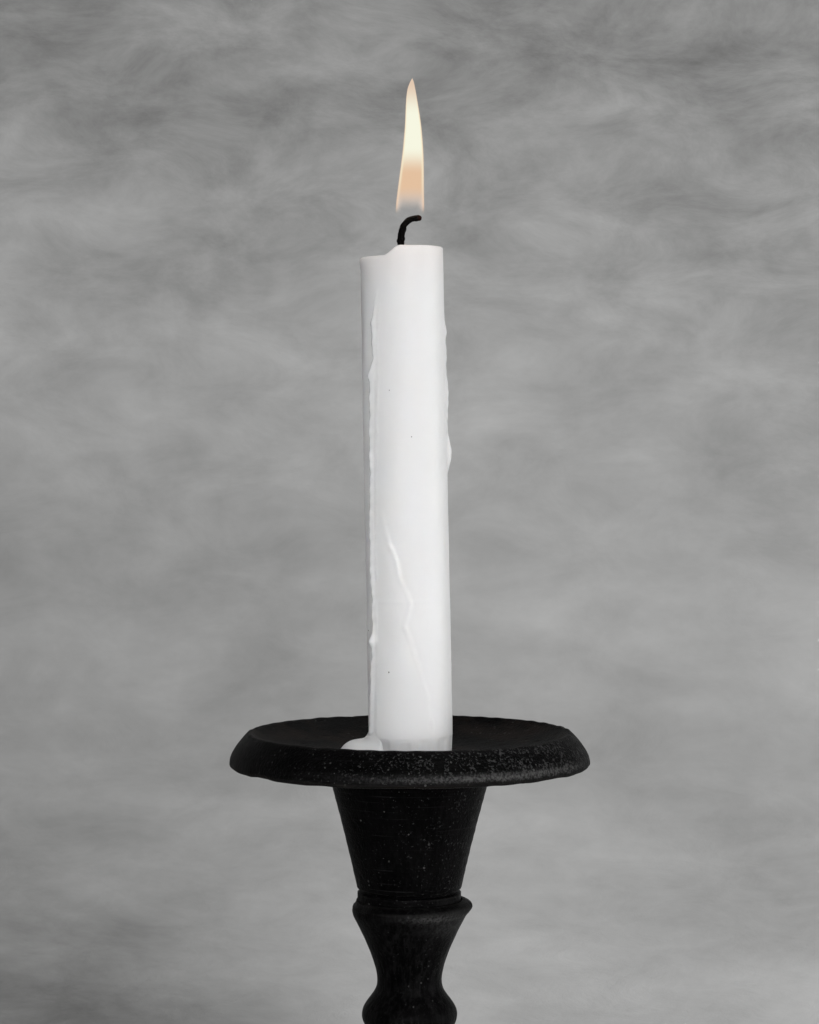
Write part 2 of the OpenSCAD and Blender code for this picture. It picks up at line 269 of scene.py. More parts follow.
class Graph:
    """Short ways to add and join nodes in one node tree."""

    def __init__(self, tree: bpy.types.NodeTree) -> None:
        """Starts on a tree, which it empties."""
        self.tree = tree
        tree.nodes.clear()

    def add(self, kind: str, **settings: object) -> bpy.types.Node:
        """Adds a node of a kind and sets the named settings on it.

        Args:
            kind: type of the node.
            settings: attributes to set on it.

        Returns:
            The node.
        """
        node = self.tree.nodes.new(kind)
        for key, value in settings.items():
            setattr(node, key, value)
        return node

    def put(self, socket: bpy.types.NodeSocket, value: object) -> None:
        """Joins a socket to another, or sets its own value."""
        if isinstance(value, bpy.types.NodeSocket):
            self.tree.links.new(value, socket)
        else:
            socket.default_value = value

    def math(self, operation: str, a: object, b: object = 0.0, c: object = 0.0,
             clamp: bool = False) -> bpy.types.NodeSocket:
        """Adds a Math node and returns its result.

        Args:
            operation: what the node works out.
            a: first value.
            b: second value.
            c: third value.
            clamp: whether the result is kept within 0 to 1.

        Returns:
            The result's socket.
        """
        node = self.add("ShaderNodeMath", operation=operation, use_clamp=clamp)
        for socket, value in zip(node.inputs, (a, b, c)):
            self.put(socket, value)
        return node.outputs[0]

    def ramp(self, value: object, low: float, high: float,
             to: tuple[float, float] = (0.0, 1.0)) -> bpy.types.NodeSocket:
        """Smooth step of a value from low to high, mapped to the range given by to.

        Args:
            value: the value to map.
            low: value where the step starts.
            high: value where the step ends.
            to: range of the result.

        Returns:
            The result's socket.
        """
        node = self.add("ShaderNodeMapRange", interpolation_type="SMOOTHSTEP")
        for key, item in (("Value", value), ("From Min", low), ("From Max", high),
                          ("To Min", to[0]), ("To Max", to[1])):
            self.put(node.inputs[key], item)
        return node.outputs["Result"]

    def mix(self, factor: object, a: object, b: object) -> bpy.types.NodeSocket:
        """Mixes two colours by a factor.

        Args:
            factor: share of the second colour.
            a: first colour.
            b: second colour.

        Returns:
            The mixed colour's socket.
        """
        node = self.add("ShaderNodeMix", data_type="RGBA")
        self.put(node.inputs["Factor"], factor)
        self.put(node.inputs[6], a)
        self.put(node.inputs[7], b)
        return node.outputs[2]

    def noise(self, vector: object, scale: object, detail: float = 3.0, rough: float = 0.5,
              warp: float = 0.0) -> bpy.types.NodeSocket:
        """Adds a noise texture and returns its value.

        Args:
            vector: position or direction.
            scale: features a metre.
            detail: number of finer layers.
            rough: strength of the finer layers.
            warp: how far the pattern is bent.

        Returns:
            The value's socket.
        """
        node = self.add("ShaderNodeTexNoise")
        self.put(node.inputs["Vector"], vector)
        for key, value in (("Scale", scale), ("Detail", detail), ("Roughness", rough),
                           ("Distortion", warp)):
            self.put(node.inputs[key], value)
        return node.outputs["Fac"]

    def scaled(self, vector: object, factors: Sequence[float]) -> bpy.types.NodeSocket:
        """Multiplies a vector by three factors.

        Args:
            vector: position or direction.
            factors: one factor for each axis.

        Returns:
            The product's socket.
        """
        node = self.add("ShaderNodeVectorMath", operation="MULTIPLY")
        self.put(node.inputs[0], vector)
        self.put(node.inputs[1], tuple(factors))
        return node.outputs[0]

    def attribute(self, name: str, vector: bool = False) -> bpy.types.NodeSocket:
        """Reads a value stored on the piece's points."""
        node = self.add("ShaderNodeAttribute", attribute_name=name)
        return node.outputs["Vector" if vector else "Fac"]

    def place(self) -> bpy.types.NodeSocket:
        """Position in the row's frame, in metres."""
        return self.add("ShaderNodeTexCoord").outputs["Object"]

    def group(self, tree: bpy.types.NodeTree, **values: object) -> bpy.types.Node:
        """Places a shared effect and sets its named inputs.

        Args:
            tree: the effect to place.
            values: value or socket for each named input.

        Returns:
            The group's node.
        """
        node = self.add("ShaderNodeGroup", node_tree=tree)
        for key, value in values.items():
            self.put(node.inputs[key], value)
        return node

    def relief(self, height: object, depth: float, below: object = None) -> bpy.types.NodeSocket:
        """Adds a Bump node: depth in metres of a height from 0 to 1, on top of the normal below it.

        Args:
            height: height from 0 to 1.
            depth: depth in metres.
            below: normal to build on, or None for the plain surface.

        Returns:
            The normal's socket.
        """
        node = self.add("ShaderNodeBump")
        node.inputs["Strength"].default_value = 1.0
        node.inputs["Distance"].default_value = depth
        self.put(node.inputs["Height"], height)
        if below is not None:
            self.put(node.inputs["Normal"], below)
        return node.outputs["Normal"]


def effect(name: str, inputs: Sequence[tuple[str, str, object]], outputs: Sequence[tuple[str, str]],
           build: Callable[[Graph, bpy.types.Node, bpy.types.Node], None]) -> bpy.types.NodeTree:
    """Makes a shared shader effect as a node group.

    Args:
        name: name of the group.
        inputs: (name, socket type, default) for each input.
        outputs: (name, socket type) for each output.
        build: fills the group, given the graph and its input and output nodes.

    Returns:
        The node group.
    """
    tree = bpy.data.node_groups.new(name, "ShaderNodeTree")
    for key, kind, default in inputs:
        socket = tree.interface.new_socket(key, in_out="INPUT", socket_type=kind)
        if default is not None:
            socket.default_value = default
    for key, kind in outputs:
        tree.interface.new_socket(key, in_out="OUTPUT", socket_type=kind)
    graph = Graph(tree)
    build(graph, graph.add("NodeGroupInput"), graph.add("NodeGroupOutput"))
    return tree


class Effects:
    """The shared effects, built once."""

    def __init__(self) -> None:
        """Builds every effect."""
        flt, vec = "NodeSocketFloat", "NodeSocketVector"
        self.specks = effect("Specks", [("Vector", vec, None), ("Spacing", flt, 1.0), ("Share", flt, 0.3),
                                        ("Size", flt, 0.3)],
                             [("Mask", flt)], self._specks)
        self.wear = effect("Edge wear", [("Vector", vec, None), ("Edge", flt, 0.0), ("Reach", flt, 0.5),
                                         ("Patch", flt, 3.0)],
                           [("Mask", flt)], self._wear)
        self.grain = effect("Wood grain", [("Vector", vec, None), ("Fineness", flt, 1.0)],
                            [("Streaks", flt), ("Height", flt)], self._grain)
        self.grit = effect("Grit", [("Vector", vec, None), ("Scale", flt, 1500.0), ("Amount", flt, 0.5)],
                           [("Mask", flt), ("Height", flt)], self._grit)
        self.turning = effect("Turning lines", [("Vector", vec, None), ("Density", flt, 1.0)],
                              [("Scratches", flt), ("Height", flt)], self._turning)

    @staticmethod
    def _specks(g: Graph, i: bpy.types.Node, o: bpy.types.Node) -> None:
        """Round spots: near a cell's middle, in the share of cells whose random value is low enough.

        Args:
            g: the effect's graph.
            i: the group's input node.
            o: the group's output node.
        """
        scale = g.math("DIVIDE", 1000.0, i.outputs["Spacing"])
        cell = g.add("ShaderNodeTexVoronoi", feature="F1")
        wobble = g.add("ShaderNodeVectorMath", operation="ADD")
        fine = g.add("ShaderNodeTexNoise")
        g.put(fine.inputs["Vector"], i.outputs["Vector"])
        fine.inputs["Scale"].default_value = 900.0
        small = g.add("ShaderNodeVectorMath", operation="SCALE")
        g.put(small.inputs[0], fine.outputs["Color"])
        small.inputs["Scale"].default_value = 0.6 * MM
        g.put(wobble.inputs[0], i.outputs["Vector"])
        g.put(wobble.inputs[1], small.outputs[0])
        g.put(cell.inputs["Vector"], wobble.outputs[0])
        g.put(cell.inputs["Scale"], scale)
        split = g.add("ShaderNodeSeparateColor")
        g.put(split.inputs[0], cell.outputs["Color"])
        kept = g.math("LESS_THAN", split.outputs[0], i.outputs["Share"])
        varied = g.math("ADD", g.math("MULTIPLY", split.outputs[1], 0.8), 0.4)
        size = g.math("MULTIPLY", i.outputs["Size"], varied)
        near = g.math("SUBTRACT", 1.0, g.math("DIVIDE", cell.outputs["Distance"], size), clamp=True)
        soft = g.math("MULTIPLY", near, 2.5, clamp=True)
        g.put(o.inputs["Mask"], g.math("MULTIPLY", soft, kept))

    @staticmethod
    def _wear(g: Graph, i: bpy.types.Node, o: bpy.types.Node) -> None:
        """Rubbed edges: the edge value plus patchy noise, cut off by how far the rubbing reaches.

        Args:
            g: the effect's graph.
            i: the group's input node.
            o: the group's output node.
        """
        patch = g.noise(i.outputs["Vector"], g.math("DIVIDE", 1000.0, i.outputs["Patch"]), 4.0, 0.65)
        fine = g.noise(i.outputs["Vector"], 1800.0, 2.0, 0.6)
        rough = g.math("ADD", g.math("MULTIPLY", patch, 0.75), g.math("MULTIPLY", fine, 0.25))
        level = g.math("MULTIPLY", i.outputs["Edge"], g.math("ADD", rough, i.outputs["Reach"]))
        g.put(o.inputs["Mask"], g.ramp(level, 0.55, 0.95))

    @staticmethod
    def _grit(g: Graph, i: bpy.types.Node, o: bpy.types.Node) -> None:
        """Fine uneven flecks: quick noise above a level that falls as the amount rises.

        Args:
            g: the effect's graph.
            i: the group's input node.
            o: the group's output node.
        """
        quick = g.noise(i.outputs["Vector"], i.outputs["Scale"], 2.5, 0.62, 0.3)
        broad = g.noise(i.outputs["Vector"], g.math("MULTIPLY", i.outputs["Scale"], 0.16), 3.0, 0.6)
        patchy = g.math("ADD", g.math("MULTIPLY", broad, 0.6), -0.045)
        level = g.math("SUBTRACT", 0.745, g.math("MULTIPLY", i.outputs["Amount"], patchy))
        over = g.math("DIVIDE", g.math("SUBTRACT", quick, level), 0.1, clamp=True)
        g.put(o.inputs["Mask"], over)
        g.put(o.inputs["Height"], quick)

    @staticmethod
    def _grain(g: Graph, i: bpy.types.Node, o: bpy.types.Node) -> None:
        """Long fine streaks: noise on coordinates that are squeezed along the grain, at two sizes.

        Args:
            g: the effect's graph.
            i: the group's input node.
            o: the group's output node.
        """
        place, fineness = i.outputs["Vector"], i.outputs["Fineness"]
        broad_scale = g.math("MULTIPLY", fineness, 900.0)
        fine_scale = g.math("MULTIPLY", fineness, 3400.0)
        broad = g.noise(g.scaled(place, (1, 1, 0.06)), broad_scale, 5.0, 0.6, 0.4)
        fine = g.noise(g.scaled(place, (1, 1, 0.03)), fine_scale, 2.0, 0.5)
        height = g.math("ADD", g.math("MULTIPLY", broad, 0.6), g.math("MULTIPLY", fine, 0.4))
        g.put(o.inputs["Streaks"], g.ramp(broad, 0.42, 0.72))
        g.put(o.inputs["Height"], height)

    @staticmethod
    def _turning(g: Graph, i: bpy.types.Node, o: bpy.types.Node) -> None:
        """Lathe marks: noise that changes quickly along the outline and slowly round it.

        Args:
            g: the effect's graph.
            i: the group's input node.
            o: the group's output node.
        """
        close = g.math("MULTIPLY", i.outputs["Density"], 100.0)
        lines = g.noise(g.scaled(i.outputs["Vector"], (0.12, 0.12, 14.0)), close, 3.0, 0.65)
        broken = g.noise(g.scaled(i.outputs["Vector"], (1, 1, 3.0)), 140.0, 2.0)
        marks = g.math("MULTIPLY", g.ramp(lines, 0.6, 0.72), g.ramp(broken, 0.42, 0.62))
        g.put(o.inputs["Scratches"], marks)
        g.put(o.inputs["Height"], lines)


def new_material(name: str) -> tuple[bpy.types.Material, Graph, bpy.types.Node]:
    """Makes a material with one Principled shader.

    Args:
        name: the material's name.

    Returns:
        The material, its graph and its shader node.
    """
    material = bpy.data.materials.new(name)
    material.use_nodes = True
    graph = Graph(material.node_tree)
    shader = graph.add("ShaderNodeBsdfPrincipled")
    out = graph.add("ShaderNodeOutputMaterial")
    graph.put(out.inputs["Surface"], shader.outputs[0])
    return material, graph, shader


class Grain(Enum):
    """Which way the wood's grain runs."""

    UPRIGHT = (1.0, 1.0, 1.0)
    ACROSS = (0.06, 1.0, 16.0)


@dataclass(frozen=True)
class BlackPaint:
    """Thin black paint on turned wood, rubbed grey-brown at its edges.

    The colours in capitals are laid over each other in the order given, each through its own mask. The
    light flecks lie thicker on the lit side as painted glints, and the lightest patches are painted sheen.

    Attributes:
        name: name of the material.
        grain: which way the grain runs.
        streaks: strength of the lighter grain streaks, 0 to 1.
        speck_share: share of the speck cells that show a speck.
        speck_light: how light the specks are, 0 to 1.
        grit: how thick the fine flecks lie, 0 to 1.
        scratches: strength of the lathe's scratches, 0 to 1.
        rub: how far the edges are rubbed.
        roughness: roughness of whole paint.
        warmth: how brown the paint is where it isn't gritty, 0 to 1.
    """

    DEEP_BLACK: ClassVar[Colour] = (0.0004, 0.0004, 0.0005, 1)
    THIN_BLACK: ClassVar[Colour] = (0.0016, 0.0015, 0.0016, 1)
    BROWN: ClassVar[Colour] = (0.0125, 0.0088, 0.0072, 1)
    STREAK: ClassVar[Colour] = (0.010, 0.0099, 0.0099, 1)
    SCRATCH: ClassVar[Colour] = (0.026, 0.0255, 0.026, 1)
    # Light flecks, partly painted glints on the lit side.
    FLECK_AND_GLINT: ClassVar[Colour] = (0.047, 0.0465, 0.0465, 1)
    RUBBED: ClassVar[Colour] = (0.015, 0.0145, 0.014, 1)
    # Painted sheen, laid through the pieces' lighter patches.
    PAINTED_SHEEN: ClassVar[Colour] = (0.085, 0.084, 0.083, 1)
    SPECK: ClassVar[Colour] = (0.11, 0.108, 0.106, 1)

    name: str
    grain: Grain = Grain.UPRIGHT
    streaks: float = 0.35
    speck_share: float = 0.1
    speck_light: float = 0.6
    grit: float = 0.2
    scratches: float = 0.3
    rub: float = 0.35
    roughness: float = 0.45
    warmth: float = 0.0

    def material(self, effects: Effects) -> bpy.types.Material:
        """Builds the material.

        Args:
            effects: the shared effects.

        Returns:
            The material.
        """
        material, g, shader = new_material(self.name)
        place = g.place()
        along = g.scaled(place, self.grain.value)
        lathe = g.attribute("lathe", vector=True)
        edge = g.attribute("edge")
        # Lighter patches of painted sheen, and the share of flecks, raised on the lit side as painted
        # glints.
        worn = g.attribute("worn")
        grit_and_glints = g.attribute("grit_and_glints")
        grain = g.group(effects.grain, Vector=along, Fineness=1.0)
        turning = g.group(effects.turning, Vector=lathe, Density=1.0)
        specks = g.group(effects.specks, Vector=place, Spacing=1.3, Share=self.speck_share, Size=0.24)
        dust = g.group(effects.specks, Vector=place, Spacing=3.1, Share=self.speck_share * 0.6, Size=0.12)
        # More flecks on the lit side: partly painted glints.
        amount = g.math("MULTIPLY", grit_and_glints, self.grit)
        grit = g.group(effects.grit, Vector=place, Scale=1450.0, Amount=amount)
        wear = g.group(effects.wear, Vector=place, Edge=edge, Reach=self.rub, Patch=5.0)
        cloud = g.noise(place, 70.0, 5.0, 0.62)

        black = g.mix(g.ramp(cloud, 0.35, 0.65), self.DEEP_BLACK, self.THIN_BLACK)
        calm = g.math("MULTIPLY", g.ramp(grit_and_glints, 0.33, 0.22), self.warmth)
        colour = g.mix(g.math("MULTIPLY", g.ramp(cloud, 0.42, 0.62), calm), black, self.BROWN)
        # Breaks up the painted sheen into patches.
        sheen_breakup = g.ramp(grit.outputs["Height"], 0.35, 0.62, (0.25, 1.0))
        grouped = g.math("MULTIPLY", specks.outputs["Mask"], g.ramp(g.noise(place, 140.0, 2.0), 0.42, 0.66))
        spot = g.math("MAXIMUM", grouped, dust.outputs["Mask"])
        layers = (
            (g.math("MULTIPLY", grain.outputs["Streaks"], self.streaks), self.STREAK),
            (g.math("MULTIPLY", turning.outputs["Scratches"], self.scratches), self.SCRATCH),
            # Flecks, partly painted glints on the lit side; rubbed edges; then painted sheen.
            (g.math("MULTIPLY", grit.outputs["Mask"], 0.8), self.FLECK_AND_GLINT),
            (g.math("MULTIPLY", wear.outputs["Mask"], 0.6), self.RUBBED),
            (g.math("MULTIPLY", worn, sheen_breakup, clamp=True), self.PAINTED_SHEEN),
            (g.math("MULTIPLY", spot, self.speck_light), self.SPECK),
        )
        for mask, tint in layers:
            colour = g.mix(mask, colour, tint)
        g.put(shader.inputs["Base Color"], colour)

        whole = g.math("ADD", g.math("MULTIPLY", cloud, 0.2), self.roughness - 0.1)
        rough = g.math("ADD", whole, g.math("MULTIPLY", wear.outputs["Mask"], 0.1), clamp=True)
        g.put(shader.inputs["Roughness"], rough)
        shader.inputs["Specular IOR Level"].default_value = 0.03

        pitted = g.relief(g.math("SUBTRACT", 1.0, spot), 0.08 * MM)
        lined = g.relief(turning.outputs["Height"], (0.03 + 0.1 * self.scratches) * MM, pitted)
        grained = g.relief(grain.outputs["Height"], (0.04 + 0.12 * self.streaks) * MM, lined)
        flecked = g.relief(grit.outputs["Height"], (0.04 + 0.28 * self.grit) * MM, grained)
        g.put(shader.inputs["Normal"], flecked)
        return material


@dataclass(frozen=True)
class Wax:
    """White candle wax that light soaks into, with a painted highlight on its runs, rim and puddle."""

    name: str = "White_wax"
    roughness: float = 0.45
    cloudy: Colour = (0.84, 0.842, 0.84, 1)
    pale: Colour = (0.88, 0.882, 0.88, 1)
    # Lighter colour of the runs, rim and puddle: a painted highlight.
    clear: Colour = (0.97, 0.97, 0.965, 1)
    flame_lit: Colour = (0.86, 0.79, 0.76, 1)
    soot: Colour = (0.09, 0.08, 0.075, 1)

    def material(self, effects: Effects) -> bpy.types.Material:
        """Builds the material.

        Args:
            effects: the shared effects.

        Returns:
            The material.
        """
        material, g, shader = new_material(self.name)
        place = g.place()
        cloud = g.noise(place, 90.0, 4.0, 0.6)
        thick = g.attribute("thick")
        warm = g.attribute("warm")
        body = g.mix(cloud, self.cloudy, self.pale)
        # Runs, rim and puddle: real coat gloss, and painted lighter as a painted highlight.
        glossy = g.math("MULTIPLY", thick, 0.6, clamp=True)
        run_highlit = g.mix(glossy, body, self.clear)
        lit = g.mix(g.math("MULTIPLY", warm, 0.4, clamp=True), run_highlit, self.flame_lit)
        soot = g.group(effects.specks, Vector=place, Spacing=6.0, Share=0.3, Size=0.06)
        g.put(shader.inputs["Base Color"], g.mix(soot.outputs["Mask"], lit, self.soot))
        rough = g.math("ADD", g.math("MULTIPLY", g.noise(place, 300.0, 3.0), 0.2), self.roughness - 0.08)
        smoothed = g.math("SUBTRACT", rough, g.math("MULTIPLY", thick, 0.3), clamp=True)
        g.put(shader.inputs["Roughness"], smoothed)
        g.put(shader.inputs["Coat Weight"], glossy)
        shader.inputs["Coat Roughness"].default_value = 0.09
        shader.inputs["Subsurface Weight"].default_value = 0.75
        shader.inputs["Subsurface Radius"].default_value = (1.0, 0.97, 0.93)
        shader.inputs["Subsurface Scale"].default_value = 2.5 * MM
        shader.inputs["IOR"].default_value = 1.43
        shader.inputs["Specular IOR Level"].default_value = 0.5
        ripple = g.noise(g.scaled(place, (1, 1, 0.25)), 420.0, 3.0, 0.55)
        g.put(shader.inputs["Normal"], g.relief(ripple, 0.05 * MM))
        return material


@dataclass(frozen=True)
class CharredWick:
    """Braided cotton burnt black, with a trace of ember brown at the tip."""

    name: str = "Charred_wick"
    soot: Colour = (0.0004, 0.0004, 0.0004, 1)
    ash: Colour = (0.003, 0.0027, 0.0025, 1)
    ember: Colour = (0.012, 0.004, 0.003, 1)

    def material(self, effects: Effects) -> bpy.types.Material:
        """Builds the material.

        Args:
            effects: the shared effects; not used here.

        Returns:
            The material.
        """
        material, g, shader = new_material(self.name)
        place = g.place()
        flakes = g.noise(place, 1500.0, 4.0, 0.7)
        tip = g.attribute("tip")
        char = g.mix(flakes, self.soot, self.ash)
        g.put(shader.inputs["Base Color"], g.mix(g.ramp(tip, 0.95, 1.0), char, self.ember))
        g.put(shader.inputs["Roughness"], g.ramp(flakes, 0.3, 0.7, (0.75, 0.95)))
        shader.inputs["Specular IOR Level"].default_value = 0.06
        g.put(shader.inputs["Normal"], g.relief(flakes, 0.12 * MM))
        return material


@dataclass(frozen=True)
class Felt:
    """Pressed wool felt."""

    name: str = "Green_felt"
    deep: Colour = (0.016, 0.03, 0.017, 1)
    worn: Colour = (0.028, 0.047, 0.028, 1)
    fluff: Colour = (0.07, 0.1, 0.066, 1)

    def material(self, effects: Effects) -> bpy.types.Material:
        """Builds the material.

        Args:
            effects: the shared effects; not used here.

        Returns:
            The material.
        """
        material, g, shader = new_material(self.name)
        place = g.place()
        fibre = g.noise(place, 2600.0, 4.0, 0.7, 1.2)
        cloud = g.noise(place, 130.0, 3.0)
        cloth = g.mix(cloud, self.deep, self.worn)
        g.put(shader.inputs["Base Color"], g.mix(g.ramp(fibre, 0.45, 0.8), cloth, self.fluff))
        g.put(shader.inputs["Roughness"], g.ramp(fibre, 0.2, 0.8, (0.85, 1.0)))
        shader.inputs["Sheen Weight"].default_value = 0.3
        shader.inputs["Sheen Roughness"].default_value = 0.5
        g.put(shader.inputs["Normal"], g.relief(fibre, 0.4 * MM))
        return material


@dataclass(frozen=True)
class ScrewSteel:
    """Zinc-plated steel, a little dulled."""

    name: str = "Screw_steel"
    dull: Colour = (0.42, 0.41, 0.38, 1)
    bright: Colour = (0.62, 0.61, 0.58, 1)
    rust: Colour = (0.14, 0.09, 0.06, 1)

    def material(self, effects: Effects) -> bpy.types.Material:
        """Builds the material.

        Args:
            effects: the shared effects.

        Returns:
            The material.
        """
        material, g, shader = new_material(self.name)
        place = g.place()
        cloud = g.noise(place, 700.0, 4.0, 0.6)
        zinc = g.mix(cloud, self.dull, self.bright)
        spots = g.group(effects.specks, Vector=place, Spacing=1.2, Share=0.2, Size=0.3).outputs["Mask"]
        g.put(shader.inputs["Base Color"], g.mix(spots, zinc, self.rust))
        g.put(shader.inputs["Metallic"], g.math("SUBTRACT", 1.0, g.math("MULTIPLY", spots, 0.7)))
        g.put(shader.inputs["Roughness"], g.ramp(cloud, 0.3, 0.7, (0.28, 0.48)))
        g.put(shader.inputs["Normal"], g.relief(cloud, 0.03 * MM))
        return material


@dataclass(frozen=True)
class Beech:
    """Bare beech, for the hidden dowels."""

    name: str = "Beech"
    pale: Colour = (0.52, 0.33, 0.18, 1)
    streak: Colour = (0.36, 0.2, 0.1, 1)
    fleck: Colour = (0.22, 0.11, 0.05, 1)

    def material(self, effects: Effects) -> bpy.types.Material:
        """Builds the material.

        Args:
            effects: the shared effects.

        Returns:
            The material.
        """
        material, g, shader = new_material(self.name)
        place = g.place()
        grain = g.group(effects.grain, Vector=place, Fineness=0.7)
        wood = g.mix(grain.outputs["Streaks"], self.pale, self.streak)
        long = g.scaled(place, (1, 1, 0.25))
        fleck = g.group(effects.specks, Vector=long, Spacing=0.9, Share=0.35, Size=0.3)
        flecked = g.mix(g.math("MULTIPLY", fleck.outputs["Mask"], 0.6), wood, self.fleck)
        g.put(shader.inputs["Base Color"], flecked)
        g.put(shader.inputs["Roughness"], g.ramp(grain.outputs["Height"], 0.3, 0.7, (0.55, 0.7)))
        g.put(shader.inputs["Normal"], g.relief(grain.outputs["Height"], 0.08 * MM))
        return material


# ---------------------------------------------------------------- turned pieces


@dataclass(frozen=True)
class Stretch:
    """A run of outline points in millimetres, and whether it is an outside surface."""

    points: np.ndarray
    outside: bool = True


@dataclass
class TurnedPiece:
    """A piece turned on the lathe, with the slight wander and knocks of handwork.

    Attributes:
        node: name of the CAD node that it stands for.
        finish: its paint.
        seed: seed of its random relief.
        columns: number of points round it.
        spacing: longest step along the outline, in millimetres.
        wander: height of the slow unevenness, in millimetres.
        LATHE_R: radius that the lathe marks are laid out on, in millimetres.
        MERGED: outline points nearer than this become one, in millimetres.
        CLOSEST: shortest step within a stretch, in millimetres.
    """

    LATHE_R: ClassVar[float] = 20.0
    MERGED: ClassVar[float] = 0.03
    CLOSEST: ClassVar[float] = 0.04

    node: str
    finish: BlackPaint
    seed: int
    columns: int = 320
    spacing: float = 0.6
    wander: float = 0.03

    def stretches(self) -> list[Stretch]:
        """The outline, up the outside from the bottom, in millimetres."""
        raise NotImplementedError

    def poles(self) -> tuple[Optional[float], Optional[float]]:
        """Heights of the points on the axis that close the outline's ends, or None for each on a loop."""
        return None, None

    def nicks(self) -> Optional[Nicks]:
        """Dents of the outside."""
        return None

    def knocks(self, theta: np.ndarray, r: np.ndarray, z: np.ndarray, s: np.ndarray) -> np.ndarray:
        """Relief of the piece's own, in millimetres outwards."""
        return np.zeros((len(s), len(theta)))

    def rubbed(self, theta: np.ndarray, r: np.ndarray, z: np.ndarray) -> np.ndarray:
        """Patches painted lighter, mostly as painted sheen, from 0 to 1."""
        return np.zeros((len(z), len(theta)))

    def grit_and_glint_share(self, theta: np.ndarray, r: np.ndarray, z: np.ndarray) -> np.ndarray:
        """How gritty each place is, from 0 to 1; pieces raise it on their lit side as painted glints."""
        return np.ones((len(z), len(theta)))

    def _sampled(self) -> tuple[np.ndarray, np.ndarray]:
        """The outline in even steps, corners kept.

        Returns:
            (radius, height) rows, and for each row how much of it is outside, 0 or 1.
        """
        rows, outside = [], []
        for stretch in self.stretches():
            p = stretch.points
            s = run_length(p)
            even = np.linspace(0, s[-1], max(2, int(math.ceil(s[-1] / self.spacing)) + 1))
            at = np.unique(np.round(np.concatenate([s, even]), 4))
            at = at[np.concatenate([[True], np.diff(at) > self.CLOSEST])]
            rows.append(np.column_stack([np.interp(at, s, p[:, 0]), np.interp(at, s, p[:, 1])]))
            outside.append(np.full(len(at), float(stretch.outside)))
        rows_all, outside_all = np.concatenate(rows), np.concatenate(outside)
        step = np.hypot(*np.diff(rows_all, axis=0).T)
        keep = np.concatenate([[True], step > self.MERGED])
        if self.poles()[0] is None and np.hypot(*(rows_all[-1] - rows_all[0])) < self.MERGED:
            keep[-1] = False
        return rows_all[keep], outside_all[keep]

    def build(self, effects: Effects) -> bpy.types.Object:
        """Turns the outline round the axis and moves each point a little along its own normal.

        The relief is slow waves plus the piece's own knocks less its nicks, all times the outside mask.

        Args:
            effects: the shared effects.

        Returns:
            The piece, riding on its body.
        """
        outline, outside = self._sampled()
        r, z = outline[:, 0], outline[:, 1]
        looped = self.poles()[0] is None
        ahead = np.roll(outline, -1, axis=0) if looped else np.vstack([outline[1:], outline[-1:]])
        behind = np.roll(outline, 1, axis=0) if looped else np.vstack([outline[:1], outline[:-1]])
        tangent = ahead - behind
        tangent /= np.maximum(np.hypot(*tangent.T), 1e-9)[:, None]
        normal = np.column_stack([tangent[:, 1], -tangent[:, 0]])
        s = run_length(outline)
        theta = once_round(self.columns)
        relief = self.wander * Waves(self.seed, 30, 5, 0.12).on(theta, s)
        relief += 0.35 * self.wander * Waves(self.seed + 1, 60, 40, 1.6).on(theta, s)
        relief += self.knocks(theta, r, z, s)
        shown = np.flatnonzero(outside > 0.5)
        nicks = self.nicks()
        if nicks is not None:
            relief -= nicks.on(theta, s, r, s[shown[0]], s[shown[-1]])
        fade = np.convolve(np.pad(outside, 2, mode="edge"), np.ones(5) / 5, mode="valid") * outside
        relief *= fade[:, None]
        rr = r[:, None] + relief * normal[:, :1]
        zz = z[:, None] + relief * normal[:, 1:]
        grid = round_axis(rr, theta, zz) * MM
        lathe = round_axis(np.full_like(rr, self.LATHE_R), theta, s[:, None]) * MM
        attributes = {
            "lathe": lathe,
            "edge": np.repeat(self._edges(s, tangent)[:, None] * outside[:, None], len(theta), axis=1),
            # Lighter patches, mostly painted sheen.
            "worn": self.rubbed(theta, r, z) * outside[:, None],
            # Share of flecks, raised on the lit side as painted glints.
            "grit_and_glints": self.grit_and_glint_share(theta, r, z),
        }
        low, high = self.poles()
        poles = tuple(None if h is None else np.array([0, 0, h * MM]) for h in (low, high))
        paint = self.finish.material(effects)
        obj = surface_object("painted_" + self.node, grid, poles, looped, attributes, paint)
        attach(obj, "candlestick")
        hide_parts(self.node)
        return obj

    @staticmethod
    def _edges(s: np.ndarray, tangent: np.ndarray, reach: float = 0.7) -> np.ndarray:
        """How sharp a corner is: the outline's turn within reach of a point, over 60 degrees.

        Args:
            s: distance of each point along the outline, in millimetres.
            tangent: direction of the outline at each point.
            reach: distance looked at on each side, in millimetres.

        Returns:
            Sharpness of each point, from 0 to 1.
        """
        heading = np.unwrap(np.arctan2(tangent[:, 1], tangent[:, 0]))
        turn = np.interp(s + reach, s, heading) - np.interp(s - reach, s, heading)
        return np.clip(turn / math.radians(60), 0, 1)


